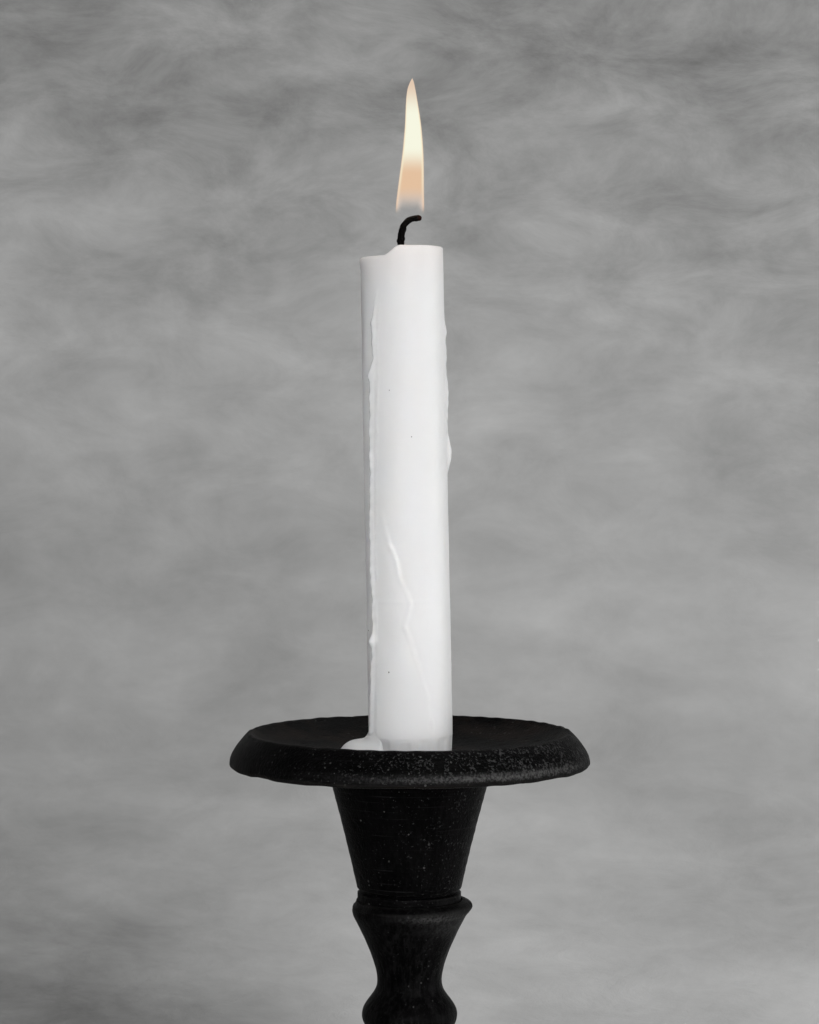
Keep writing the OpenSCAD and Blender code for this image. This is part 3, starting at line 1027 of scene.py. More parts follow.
@dataclass
class Base(TurnedPiece):
    """The round foot, with a sloping edge like the tray's."""

    radius: float = 50.0
    felt: float = 2.0
    height: float = 27.0
    edge_height: float = 10.0
    collar: float = 13.8
    mortise: float = 8.1
    mortise_floor: float = 15.5
    screw_hole: float = 2.55
    recess: float = 6.9
    recess_roof: float = 6.4

    def stretches(self) -> list[Stretch]:
        """Underside, sloping edge, cove, collar, then the mortise, screw hole and recess.

        Returns:
            The stretches, in order along the outline.
        """
        low, top, big = self.felt, self.felt + self.height, self.radius
        crest, collar = low + self.edge_height, self.collar
        outer = np.concatenate([
            arc((big - 2.2, low + 2.2), 2.2, -90, 0),
            curve((big, low + 2.6), (big - 0.2, low + 5.4), (big - 2.4, crest - 2), (big - 4.6, crest)),
            arc((big - 5.3, crest - 0.4), 0.8, 60, 150, 6),
            [[big - 7.2, crest - 0.6], [big - 8, crest - 0.4]],
            curve((big - 8.4, crest + 0.2), (big - 22, crest + 1), (collar + 2.4, crest + 4.6),
                  (collar + 0.6, top - 4), 24),
            [[collar + 0.6, top - 3.4], [collar, top - 3]],
            arc((collar - 1, top - 1), 1, 0, 90, 6),
        ])
        return [
            Stretch(np.array([[self.recess, low], [big - 2.2, low]]), False),
            Stretch(outer),
            Stretch(np.array([[collar - 1, top], [self.mortise, top], [self.mortise, self.mortise_floor],
                              [self.screw_hole, self.mortise_floor], [self.screw_hole, self.recess_roof],
                              [self.recess, self.recess_roof], [self.recess, low]]), False),
        ]

    def nicks(self) -> Nicks:
        """Knocks from shelves and tables."""
        return Nicks(71, 90, (0.4, 1.1), (0.02, 0.14))


@dataclass
class Stem(TurnedPiece):
    """The long vase-shaped stem, with its tenon below."""

    foot_z: float = 29.0
    height: float = 140.0
    foot: float = 12.2
    bead: float = 14.2
    bead_half: float = 4.2
    low_neck: float = 9.2
    belly: float = 16.0
    belly_z: float = 48.0
    neck: float = 8.4
    top: float = 10.6
    tenon: float = 8.0
    tenon_length: float = 13.0
    pilot: float = 2.3
    pilot_length: float = 9.9
    dowel_hole: float = 4.1
    dowel_depth: float = 10.5

    def poles(self) -> tuple[float, float]:
        """The pilot hole's end and the dowel hole's end."""
        top = self.foot_z + self.height
        return self.foot_z - self.tenon_length + self.pilot_length, top - self.dowel_depth

    def stretches(self) -> list[Stretch]:
        """Pilot hole and tenon, then the fillet, bead, neck, belly and top, then the dowel hole.

        Returns:
            The stretches, in order along the outline.
        """
        h, half, belly_z = self.height, self.bead_half, self.belly_z
        bead_z = 3.6 + half
        low_z = bead_z + half + 3.6
        neck_z = h - 9
        low, belly, neck, top = self.low_neck, self.belly, self.neck, self.top
        deep = -self.tenon_length
        tenon = np.array([[self.pilot, self.pilot_length + deep], [self.pilot, deep],
                          [self.tenon - 0.6, deep], [self.tenon, 0.6 + deep], [self.tenon, 0],
                          [self.foot, 0]])
        outer = np.concatenate([
            [[self.foot, 0], [self.foot, 2.4], [self.foot - 0.9, 2.9], [self.foot - 0.9, 3.5]],
            arc((self.bead - half, bead_z), half, -68, 68, 14),
            curve((self.bead - half + 1.2, bead_z + half), (low + 0.8, bead_z + half + 0.6),
                  (low, low_z - 1.6), (low, low_z)),
            curve((low, low_z + 0.2), (low, low_z + 5), (belly, belly_z - 14), (belly, belly_z), 20),
            curve((belly, belly_z + 0.2), (belly, belly_z + 22), (neck, neck_z - 32), (neck, neck_z), 30),
            curve((neck, neck_z + 0.2), (neck, neck_z + 3), (top - 1.6, h - 4.4), (top - 0.8, h - 3.4), 8),
            [[top - 0.8, h - 3], [top, h - 2.8], [top, h - 0.3], [top - 0.3, h]],
        ])
        hole = np.array([[top - 0.3, h], [self.dowel_hole, h], [self.dowel_hole, h - self.dowel_depth]])
        up = np.array([0, self.foot_z])
        return [Stretch(tenon + up, False), Stretch(outer + up), Stretch(hole + up, False)]

    def nicks(self) -> Nicks:
        """Small knocks."""
        return Nicks(72, 70, (0.3, 0.9), (0.02, 0.1))


@dataclass
class Knop(TurnedPiece):
    """The goblet-shaped knop over its bead."""

    seat_z: float = 205.4
    height: float = 36.4
    rim: float = 15.85
    neck: float = 8.5
    neck_drop: float = 20.9
    bead: float = 12.5
    bead_r: float = 4.8
    bead_rise: float = 6.6
    seat_depth: float = 0.6
    fillet: float = 13.6
    dowel_hole: float = 4.1
    dowel_depth: float = 10.5

    def poles(self) -> tuple[float, float]:
        """The ends of the two dowel holes."""
        return self.seat_z - self.height + self.dowel_depth, self.seat_z - self.dowel_depth

    def stretches(self) -> list[Stretch]:
        """Lower dowel hole, bead, neck, goblet and rim, then the seat and the upper dowel hole.

        Returns:
            The stretches, in order along the outline.
        """
        lip, foot, rim, neck, hole = 0.5, -self.height, self.rim, self.neck, self.dowel_hole
        bead_z, bead_c, neck_z = foot + self.bead_rise, self.bead - self.bead_r, -self.neck_drop
        round_bead = arc((bead_c, bead_z), self.bead_r, -62, 32, 20)
        shoulder = round_bead[-1]
        below = np.array([[hole, foot + self.dowel_depth], [hole, foot], [self.bead - 3, foot]])
        outer = np.concatenate([
            [[self.bead - 3, foot]],
            round_bead,
            curve(shoulder, shoulder + [-1.5, 2.4], (neck, neck_z - 2.7), (neck, neck_z), 14),
            curve((neck, neck_z + 0.2), (neck, neck_z + 4.7), (rim - 3.35, -8), (rim - 0.3, -2.4), 24),
            arc((rim - lip, -0.7 - lip), lip, -12, 52, 8),
            [[self.fillet + 0.3, self.seat_depth], [self.fillet + 0.2, 0]],
        ])
        seat = np.array([[self.fillet + 0.2, 0], [hole, 0], [hole, -self.dowel_depth]])
        up = np.array([0, self.seat_z])
        return [Stretch(below + up, False), Stretch(outer + up), Stretch(seat + up, False)]

    def nicks(self) -> Nicks:
        """Small knocks."""
        return Nicks(73, 60, (0.25, 0.6), (0.02, 0.1), 0.8)

    def knocks(self, theta: np.ndarray, r: np.ndarray, z: np.ndarray, s: np.ndarray) -> np.ndarray:
        """A rim rubbed down towards -X and full towards +X: bells round it times one on height.

        Args:
            theta: angles round the axis, in radians.
            r: radius of each outline point, in millimetres.
            z: height of each outline point, in millimetres.
            s: distance of each point along the outline, in millimetres; not used here.

        Returns:
            Relief in millimetres outwards, with a row for each point and a column for each theta.
        """
        rim_z = self.seat_z - 1.1
        side = bump(turn_apart(theta, math.radians(190)), math.radians(48))
        chip = bump(turn_apart(theta, math.radians(212)), math.radians(9))
        at_rim = bump(z - rim_z, 1.5) * smooth(r, self.fillet - 0.4, self.fillet + 1.2)
        far = bump(turn_apart(theta, math.radians(-5)), math.radians(60))
        return at_rim[:, None] * (0.75 * far - 1.1 * side - 0.35 * chip)[None, :]

    def rubbed(self, theta: np.ndarray, r: np.ndarray, z: np.ndarray) -> np.ndarray:
        """Painted sheen just under the rim at the front right, and fainter below: bells on height and turn.

        Args:
            theta: angles round the axis, in radians.
            r: radius of each outline point, in millimetres.
            z: height of each outline point, in millimetres.

        Returns:
            Share of painted sheen, with a row for each point and a column for each theta.
        """
        under = bump(z - (self.seat_z - 2.2), 0.9) * smooth(r, 12.0, 14.5)
        lower = 0.3 * bump(z - (self.seat_z - 5.0), 3.0) * smooth(r, 11.0, 14.0)
        side = bump(turn_apart(theta, math.radians(-66)), math.radians(30))
        right = bump(turn_apart(theta, math.radians(-35)), math.radians(35))
        return 0.6 * under[:, None] * side[None, :] + lower[:, None] * right[None, :]

    def grit_and_glint_share(self, theta: np.ndarray, r: np.ndarray, z: np.ndarray) -> np.ndarray:
        """Grittier towards the front right, the lit side, as painted glints."""
        side = 0.35 + 0.65 * (0.5 + 0.5 * np.cos(theta - math.radians(-30)))
        return np.broadcast_to(side, (len(z), len(theta)))


@dataclass
class Cup(TurnedPiece):
    """The tapered cup, whose spigot passes through the tray."""

    foot_z: float = 205.4
    height: float = 33.7
    low: float = 13.75
    top: float = 21.2
    fillet: float = 13.6
    fillet_height: float = 2.7
    spigot: float = 14.5
    spigot_top: float = 244.4
    socket: float = 11.3
    socket_depth: float = 16.0
    dowel_hole: float = 4.1
    dowel_depth: float = 10.5

    def poles(self) -> tuple[float, float]:
        """The dowel hole's end and the socket's floor."""
        return self.foot_z + self.dowel_depth, self.spigot_top - self.socket_depth

    def stretches(self) -> list[Stretch]:
        """Dowel hole, fillet, groove and wall, then the spigot and the socket.

        Returns:
            The stretches, in order along the outline.
        """
        f, fh, low, top, h = self.fillet, self.fillet_height, self.low, self.top, self.height
        wider, wall_z, groove = top - low, fh + 1.2, low - 1.1
        wall = h - wall_z - 0.4
        below = np.array([[self.dowel_hole, self.dowel_depth], [self.dowel_hole, 0], [f - 0.3, 0]])
        outer = np.concatenate([
            [[f - 0.3, 0], [f, 0.3], [f, fh - 0.3], [f - 0.5, fh]],
            [[groove, fh + 0.2], [groove, fh + 0.7], [low - 0.15, fh + 0.9]],
            curve((low, wall_z), (low + 0.285 * wider, wall_z + wall / 3),
                  (low + 0.62 * wider, wall_z + wall * 2 / 3), (top - 0.1, wall_z + wall), 24),
        ])
        spigot_h = self.spigot_top - self.foot_z
        above = np.array([[top - 0.1, wall_z + wall], [top - 0.4, h], [self.spigot, h],
                          [self.spigot, spigot_h], [self.socket, spigot_h],
                          [self.socket, spigot_h - self.socket_depth]])
        up = np.array([0, self.foot_z])
        return [Stretch(below + up, False), Stretch(outer + up), Stretch(above + up, False)]

    def nicks(self) -> Nicks:
        """Small knocks."""
        return Nicks(74, 90, (0.2, 0.55), (0.02, 0.12))

    def knocks(self, theta: np.ndarray, r: np.ndarray, z: np.ndarray, s: np.ndarray) -> np.ndarray:
        """Ridges left by the gouge: waves on height alone, with a slow change round the cup.

        Args:
            theta: angles round the axis, in radians.
            r: radius of each outline point, in millimetres; not used here.
            z: height of each outline point, in millimetres.
            s: distance of each point along the outline, in millimetres; not used here.

        Returns:
            Relief in millimetres outwards, with a row for each point and a column for each theta.
        """
        wall = smooth(z, self.foot_z + 4, self.foot_z + 7)
        ridges = 0.022 * np.cos(z * 2.3 + 0.6 * np.sin(z * 0.7)) * wall
        return ridges[:, None] * (1 + 0.4 * np.cos(theta - 1.0))[None, :]

    def grit_and_glint_share(self, theta: np.ndarray, r: np.ndarray, z: np.ndarray) -> np.ndarray:
        """Grittier towards the front right, the lit side, as painted glints."""
        side = 0.3 + 0.7 * (0.5 + 0.5 * np.cos(theta - math.radians(-30)))
        return np.broadcast_to(side, (len(z), len(theta)))


@dataclass
class DripTray(TurnedPiece):
    """The wide tray with its shallow dish."""

    rim_z: float = 250.0
    radius: float = 47.2
    height: float = 8.9
    batter: float = 5.1
    belly: float = 2.0
    dish: float = 5.6
    floor: float = 20.0
    seat: float = 22.2
    bore: float = 14.6
    round_edge: float = 1.2

    def stretches(self) -> list[Stretch]:
        """Underside, lower edge, sloping face, rim and dish, then the bore.

        Returns:
            The stretches, in order along the outline.
        """
        big, rim, edge = self.radius, self.radius - self.batter, self.round_edge - self.height
        hub, dish, floor, bore = -self.height - self.belly, -self.dish, self.floor, self.bore
        under = np.array([[self.seat, hub], [big - self.round_edge, -self.height]])
        outer = np.concatenate([
            arc((big - self.round_edge, edge), self.round_edge, -90, 0, 12),
            curve((big, edge + 0.2), (big - 0.2, edge + 2.5), (rim + 2.4, -2), (rim + 0.3, -0.1), 18),
            [[rim, 0], [rim - 0.4, -0.05]],
            curve((rim - 0.8, -0.3), (rim - 4, -3), (floor + 9, dish), (floor, dish), 24),
            [[bore + 1.2, dish]],
        ])
        inner = np.array([[bore + 1.2, dish], [bore, dish], [bore, hub], [self.seat, hub]])
        up = np.array([0, self.rim_z])
        return [Stretch(under + up), Stretch(outer + up), Stretch(inner + up, False)]

    def nicks(self) -> Nicks:
        """Knocks all over the tray."""
        return Nicks(75, 260, (0.3, 0.9), (0.03, 0.16))

    def knocks(self, theta: np.ndarray, r: np.ndarray, z: np.ndarray, s: np.ndarray) -> np.ndarray:
        """A worn lower edge and rim: bells on height at each, times rough waves round the tray.

        Args:
            theta: angles round the axis, in radians.
            r: radius of each outline point, in millimetres.
            z: height of each outline point, in millimetres.
            s: distance of each point along the outline, in millimetres.

        Returns:
            Relief in millimetres outwards, with a row for each point and a column for each theta.
        """
        lower = bump(z - (self.rim_z - self.height + 0.6), 1.3) * smooth(r, 44.0, 46.0)
        rim = bump(z - self.rim_z, 0.5) * smooth(r, 40.0, 41.6)
        rough = Waves(self.seed + 9, 60, 46, 0.05).on(theta, s)
        broad = Waves(self.seed + 10, 24, 14, 0.05).on(theta, s)
        worn = -0.16 * np.clip(broad + 0.4 * rough, -0.3, 2.0)
        fine = 0.05 * Waves(self.seed + 11, 60, 60, 0.05).on(theta, s)
        return lower[:, None] * worn + rim[:, None] * fine

    def rubbed(self, theta: np.ndarray, r: np.ndarray, z: np.ndarray) -> np.ndarray:
        """Painted sheen above the lower edge at the front right, and lighter inside the rim at the left, as
        bells.

        Args:
            theta: angles round the axis, in radians.
            r: radius of each outline point, in millimetres.
            z: height of each outline point, in millimetres.

        Returns:
            Share painted lighter, with a row for each point and a column for each theta.
        """
        foot = self.rim_z - self.height
        lower = bump(z - (foot + 2.3), 0.9) * smooth(r, 44.0, 46.0) * smooth(z, foot + 0.8, foot + 1.6)
        side = bump(turn_apart(theta, math.radians(-62)), math.radians(34))
        inner = bump(z - (self.rim_z - 0.4), 0.45) * smooth(r, 37.0, 40.0) * (1 - smooth(r, 42.0, 42.6))
        left = bump(turn_apart(theta, math.radians(-148)), math.radians(34))
        return lower[:, None] * side[None, :] + 0.3 * inner[:, None] * left[None, :]

    def grit_and_glint_share(self, theta: np.ndarray, r: np.ndarray, z: np.ndarray) -> np.ndarray:
        """Gritty on the sloping face, most of all at the front right, the lit side, where the extra flecks
        are painted glints, and smooth in the dish.

        Args:
            theta: angles round the axis, in radians.
            r: radius of each outline point, in millimetres.
            z: height of each outline point, in millimetres.

        Returns:
            Share of grit and painted glints, with a row for each point and a column for each theta.
        """
        foot = self.rim_z - self.height
        face = smooth(r, 40.5, 42.5) * smooth(z, foot + 0.5, foot + 1.5)
        side = 0.3 + 0.7 * (0.5 + 0.5 * np.cos(theta - math.radians(-35))) ** 2
        return (0.2 + 0.8 * face)[:, None] * np.maximum(side, 0.4 * (1 - face)[:, None])


# ---------------------------------------------------------------- candle


@dataclass(frozen=True)
class WaxRun:
    """A run of wax down the candle's side.

    Attributes:
        heights: heights above the dish where its path bends, in millimetres, from the top down.
        turns: angle from straight ahead at each of those, in degrees, positive to the right.
        width: half-width, in millimetres.
        depth: how far it stands out, in millimetres.
        beads: (height, extra depth, half-length) of its drops, in millimetres.
        seed: seed of its small unevenness.
        thin_above: height above which it's a mere thread, in millimetres.
    """

    heights: tuple[float, ...]
    turns: tuple[float, ...]
    width: float
    depth: float
    beads: tuple[tuple[float, float, float], ...] = ()
    seed: int = 1
    thin_above: float = 1000.0

    def on(self, theta: np.ndarray, h: np.ndarray, r: float) -> np.ndarray:
        """Height of the run: a bell across its path, times a profile along it with drops added.

        Args:
            theta: angles round the candle, in radians, as one row.
            h: heights above the dish, in millimetres, as one row.
            r: the candle's radius, in millimetres.

        Returns:
            Relief in millimetres, with a row for each h and a column for each theta.
        """
        path = np.interp(h, self.heights[::-1], self.turns[::-1])
        rng = np.random.default_rng(self.seed)
        for rate in (0.35, 0.9, 1.7):
            path = path + 0.35 * rng.uniform(0.5, 1.2) / rate**0.5 * np.sin(rate * h + rng.uniform(0, 6))
        across = turn_apart(theta[None, :], np.radians(path - 90)[:, None]) * r
        top, foot = self.heights[0], self.heights[-1]
        ends = smooth(h, foot - 1.2, foot + 1.2) * (1 - smooth(h, top - 3.0, top + 1.0))
        slow = 0.22 * np.sin(0.8 * h + rng.uniform(0, 6))
        quick = 0.14 * np.sin(2.1 * h + rng.uniform(0, 6))
        thread = smooth(h, self.thin_above, self.thin_above + 3.0)[:, None]
        profile = (self.depth * ends * (1 + slow + quick))[:, None] * (1 - 0.4 * thread)
        total = profile * bump(across, self.width * (1 - 0.3 * thread))
        for at, extra, half in self.beads:
            drop = np.where(h < at, bump(h - at, half * 0.6), bump(h - at, half))
            total = total + extra * drop[:, None] * bump(across, self.width * 1.35)
        return total


@dataclass
class Candle:
    """The dinner candle: body, fluted end, wax runs, melt pool, wick and puddle."""

    dish_z: float = 244.4
    shift: float = 0.4
    lean: float = 1.07
    foot_r: float = 9.7
    body_r: float = 11.0
    top_r: float = 10.8
    foot_h: float = -15.77
    flute_h: float = 4.6
    high: float = 132.2
    low: float = 129.7
    flutes: int = 12
    flute_depth: float = 0.36
    flute_turn: float = 20.0
    pool_depth: float = 3.2
    columns: int = 240

    def stand(self, points: np.ndarray) -> np.ndarray:
        """Leans the candle's own frame about Y and stands it in the dish.

        The new x is x cos(lean) - z sin(lean) + shift, and the new z is x sin(lean) + z cos(lean)
        plus the dish's height.

        Args:
            points: positions in millimetres in the candle's frame.

        Returns:
            Positions in metres in the row's frame.
        """
        c, s = math.cos(math.radians(self.lean)), math.sin(math.radians(self.lean))
        x, y, z = points[..., 0], points[..., 1], points[..., 2]
        return np.stack([x * c - z * s + self.shift, y, x * s + z * c + self.dish_z], axis=-1) * MM

    def runs(self) -> list[WaxRun]:
        """The runs that have set on the candle: the main one first, and two at the back last."""
        return [
            WaxRun(heights=(123, 119, 113.5, 107, 103.5, 101, 98.5, 87, 71, 56, 48, 40, 30, 19, 11, 3, -1),
                   turns=(-38, -40, -45, -44, -43, -47, -51, -52.5, -54, -56.5, -56, -54.5, -55.5, -62, -66,
                          -69, -71),
                   width=0.72, depth=0.6,
                   beads=((113.5, 0.2, 1.6), (98.8, 0.5, 2.0), (57.5, 0.25, 2.0), (48.5, 0.3, 2.2),
                          (29.8, 0.95, 1.9), (17.0, 0.2, 2.5), (10.5, 0.25, 2.0)),
                   seed=3, thin_above=112.5),
            WaxRun(heights=(120, 105, 95, 87, 71, 56, 40, 25, 11, 4),
                   turns=(-35, -37, -39, -41, -44.5, -46.5, -48, -49.5, -52, -54), width=0.4, depth=0.14,
                   beads=((57.0, 0.12, 1.0), (47.0, 0.15, 1.5), (36.0, 0.1, 3.0)), seed=5),
            WaxRun(heights=(113, 107, 96, 86, 74), turns=(83, 85, 86.5, 86.5, 88), width=1.05, depth=0.34,
                   beads=((110.0, 0.22, 1.7), (92.5, 0.4, 4.2), (77.8, 0.9, 4.4)), seed=7),
            WaxRun(heights=(64, 56, 51, 46, 40, 34, 26, 16, 8, 3),
                   turns=(-37, -26, -16, -10, 4, -5, 9, 25, 30, 36), width=0.6, depth=0.13,
                   beads=((54.0, 0.1, 1.2), (7.6, 0.16, 1.6)), seed=11),
            WaxRun(heights=(122, 100, 84), turns=(168, 160, 165), width=1.2, depth=0.5,
                   beads=((86.0, 0.7, 2.5),), seed=13),
            WaxRun(heights=(126, 96, 60, 41), turns=(-150, -143, -140, -146), width=1.3, depth=0.55,
                   beads=((44.0, 0.8, 2.6), (88.0, 0.3, 3.0)), seed=15),
        ]

    def rim_height(self, theta: np.ndarray) -> np.ndarray:
        """Height of the rim: high towards +X, and a smooth step lower where wax has spilled over.

        Args:
            theta: angles round the axis, in radians.

        Returns:
            Height above the dish at each theta, in millimetres.
        """
        ahead = np.degrees(turn_apart(theta, FRONT))
        spilled = 1 - smooth(ahead, -27, -2)
        spilled = spilled * smooth(ahead, -178, -160)
        wave = 0.05 * np.cos(3 * theta + 0.5) + 0.03 * np.cos(7 * theta)
        return self.high - (self.high - self.low) * spilled + wave - 0.1

    def build_body(self, wax: bpy.types.Material) -> bpy.types.Object:
        """Wraps a grid of angle and height round the candle's axis.

        Radius is the straight taper less the flutes, plus the runs and slow waves. Rows near the top
        follow the rim, then go down into the melt pool.

        Args:
            wax: the wax material.

        Returns:
            The candle.
        """
        theta = once_round(self.columns)
        end = np.linspace(self.foot_h, self.flute_h, 44)
        body = np.linspace(self.flute_h + 0.25, self.high - 0.45, 320)
        h = np.concatenate([end, body])
        fluted_part = (h - self.foot_h) / (self.flute_h - self.foot_h)
        plain_part = (h - self.flute_h) / (self.high - self.flute_h)
        taper = np.where(h < self.flute_h + 0.01,
                         self.foot_r + (self.body_r - 0.05 - self.foot_r) * fluted_part,
                         self.body_r + (self.top_r - self.body_r) * plain_part)
        wave = np.cos(self.flutes * (theta - math.radians(self.flute_turn)))
        flute = self.flute_depth * np.clip(0.5 + 0.9 * wave, 0, 1)
        fluted = 1 - smooth(h, self.flute_h - 0.7, self.flute_h)
        radius = taper[:, None] - flute[None, :] * fluted[:, None]
        above = smooth(h, self.flute_h - 1.0, self.flute_h + 2.0)
        runs = sum(run.on(theta, h, self.body_r) for run in self.runs())
        runs = runs * smooth(h, -1.5, 1.0)[:, None]
        slow = 0.05 * Waves(21, 30, 4, 0.08).on(theta, h) + 0.02 * Waves(22, 50, 14, 0.5).on(theta, h)
        rings = 0.05 * bump(h - 104.9, 0.9) + 0.035 * bump(h - 40.2, 0.4)
        rings = rings - 0.06 * bump(h - self.flute_h, 0.3)
        radius = radius + runs + (slow + rings[:, None]) * above[:, None]
        radius = radius - 0.05 * self._pits(theta, h)
        lip = bump(np.degrees(turn_apart(theta, math.radians(-166))), 26)
        radius = radius + 0.35 * smooth(h, self.high - 2.6, self.high - 0.6)[:, None] * lip[None, :]
        to_rim = smooth(h, 96, self.high - 0.45)[:, None]
        grid_h = h[:, None] + (self.rim_height(theta)[None, :] - self.high) * to_rim
        outer = round_axis(radius, theta, grid_h)
        cap, cap_thin = self._melted_top(theta, radius[-1], grid_h[-1])
        under = round_axis(self.foot_r * np.array([[0.35], [0.7], [0.93]]), theta, self.foot_h)
        points = np.concatenate([under, outer, cap])
        # Where runs stand out: glossier, and painted lighter as a painted highlight.
        thick = np.concatenate([np.zeros(under.shape[:2]), np.clip(runs / 0.25, 0, 1), cap_thin * 0.5])
        glow = smooth(points[..., 2], self.high - 15, self.high + 1.0)
        floor = self.high - self.pool_depth
        poles = (self.stand(np.array([0, 0, self.foot_h])), self.stand(np.array([0, 0, floor])))
        attributes = {"thick": thick, "warm": glow}
        obj = surface_object("wax_candle", self.stand(points), poles, False, attributes, wax)
        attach(obj, "candle")
        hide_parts("candle")
        return obj

    @staticmethod
    def _pits(theta: np.ndarray, h: np.ndarray) -> np.ndarray:
        """A few pin-holes in the wax, as bells scattered over the body.

        Args:
            theta: angles round the axis, in radians.
            h: heights above the dish, in millimetres.

        Returns:
            Sum of the bells, with a row for each h and a column for each theta.
        """
        rng = np.random.default_rng(31)
        total = np.zeros((len(h), len(theta)))
        for _ in range(26):
            turn, at = rng.uniform(0, 2 * np.pi), rng.uniform(6, 120)
            total += bump(turn_apart(theta, turn)[None, :] * 11, 0.35) * bump(h - at, 0.35)[:, None]
        return total

    def _melted_top(self, theta: np.ndarray, radius: np.ndarray,
                    edge: np.ndarray) -> tuple[np.ndarray, np.ndarray]:
        """The rounded rim and the bowl of melted wax inside it.

        The rim is a quarter round from the wall to the top, and the bowl falls as a smooth step
        towards the wick.

        Args:
            theta: angles round the candle, in radians.
            radius: the wall's radius at its last row, in millimetres.
            edge: height of the wall's last row, in millimetres.

        Returns:
            Grid points in millimetres, and how thin the wax is at each, from 0 to 1.
        """
        rounding, top = 0.4, self.rim_height(theta)
        turn = np.radians([25, 50, 75, 90])[:, None]
        lip = round_axis(radius - rounding * (1 - np.cos(turn)), theta, edge + (top - edge) * np.sin(turn))
        part = np.array([0.95, 0.9, 0.84, 0.76, 0.66, 0.54, 0.42, 0.3, 0.2, 0.12])[:, None]
        floor = self.high - self.pool_depth
        level = top + (floor - top) * smooth(1 - part, 0.0, 0.34)
        bowl = round_axis((radius - rounding) * part, theta, level)
        thin = np.concatenate([np.full(lip.shape[:2], 1.0), np.full(bowl.shape[:2], 0.6)])
        return np.concatenate([lip, bowl]), thin

    def build_puddle(self, wax: bpy.types.Material) -> bpy.types.Object:
        """The puddle of set wax: a low dome on a wavy outline, drawn up against the candle.

        Height is the dome's root-shaped profile, plus a fillet that dies away with distance from the
        candle.

        Args:
            wax: the wax material.

        Returns:
            The puddle.
        """
        turn, mid, foot = once_round(200), np.array([-11.7, -3.2]), 0.05
        lobes = 0.35 * np.cos(2 * turn + 0.4) + 0.22 * np.cos(3 * turn + 2.0) + 0.1 * np.cos(6 * turn)
        t = np.concatenate([np.linspace(0.04, 0.9, 34), np.linspace(0.915, 1.0, 14)])
        x = mid[0] + t[:, None] * (6.45 + lobes) * np.cos(turn)
        y = mid[1] + t[:, None] * (6.45 + lobes) * np.sin(turn)
        gap = np.maximum(np.hypot(x - self.shift, y) - self.body_r, 0)
        dome = 3.75 * (np.clip(1 - t**3.2, 0, 1) ** 0.85)[:, None] * (1 + 0.04 * np.cos(2 * turn))
        side = np.arctan2(y, x - self.shift)
        fillet = 3.0 * np.exp(-gap / 0.8) * bump(turn_apart(side, math.radians(-160)), 0.75)
        z = 0.1 + dome + fillet * np.clip(dome / 1.2, 0, 1) ** 0.5
        upper = np.stack([x, y, z], axis=-1)[::-1]
        lower = np.stack([x, y, np.full_like(x, foot)], axis=-1)[:-1]
        points = (np.concatenate([lower, upper]) + [0, 0, self.dish_z]) * MM
        poles = tuple(np.array([*mid, self.dish_z + v]) * MM for v in (foot, float(z[0].mean())))
        # Slightly glossier, and painted a little lighter as a painted highlight.
        thick = np.full(points.shape[:2], 0.3)
        attributes = {"thick": thick, "warm": np.zeros_like(thick)}
        obj = surface_object("set_wax_puddle", points, poles, False, attributes, wax)
        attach(obj, "candle")
        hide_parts("wax_puddle")
        return obj

    def wick_line(self) -> np.ndarray:
        """The wick's middle line in the candle's frame: upright, then a cubic curve over to +X.

        Returns:
            (x, height) rows in millimetres.
        """
        top = self.high
        rise = np.linspace(self.foot_h + 1.2, top - 0.4, 30)
        upright = np.column_stack([np.linspace(0, -0.2, len(rise)), rise])
        bent = curve((-0.2, top - 0.2), (-0.2, top + 6.2), (1.2, top + 8.0), (5.45, top + 7.65), 60)
        return np.concatenate([upright, bent])

    def build_wick(self, effects: Effects) -> bpy.types.Object:
        """Carries a plaited circle along the wick's middle line.

        The radius is the wick's own, times two crossing screw waves and small flakes, rounded off at
        the tip.

        Args:
            effects: the shared effects.

        Returns:
            The wick.
        """
        line = self.wick_line()
        s = run_length(line)
        tip = s[-1]
        at = np.concatenate([np.linspace(0, tip - 14, 60), np.linspace(tip - 13.8, tip - 1.0, 110),
                             tip - 0.95 * np.cos(np.linspace(0, np.pi / 2 * 0.96, 14))])
        x, z = np.interp(at, s, line[:, 0]), np.interp(at, s, line[:, 1])
        dx, dz = np.gradient(x, at), np.gradient(z, at)
        size = np.hypot(dx, dz)
        dx, dz = dx / size, dz / size
        turn, along = once_round(40), at[:, None]
        plait = 0.05 * np.cos(2 * turn + 2.4 * along) + 0.05 * np.cos(3 * turn - 2.9 * along)
        flakes = 0.05 * Waves(41, 50, 8, 5.0).on(turn, at)
        shown = smooth(at, tip - 14.5, tip - 12.5)
        rounded = np.sqrt(np.clip(1 - np.clip((at - (tip - 0.95)) / 0.97, 0, 1) ** 2, 0, 1))
        base = 0.97 - 0.1 * smooth(at, tip - 10, tip - 6) - 0.1 * smooth(at, tip - 7, tip - 3)
        radius = base[:, None] * rounded[:, None] * (1 + (plait + flakes) * shown[:, None])
        px = x[:, None] + radius * np.cos(turn) * dz[:, None]
        pz = z[:, None] - radius * np.cos(turn) * dx[:, None]
        py = radius * np.sin(turn)
        points = np.stack([px, py, pz], axis=-1)
        near_tip = np.repeat(smooth(at, tip - 9.5, tip)[:, None], len(turn), axis=1)
        ends = (self.stand(np.array([x[0], 0, z[0]])), self.stand(np.array([x[-1], 0, z[-1]])))
        obj = surface_object("burnt_wick", self.stand(points), ends, False, {"tip": near_tip},
                             CharredWick().material(effects))
        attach(obj, "candle")
        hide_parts("wick")
        return obj


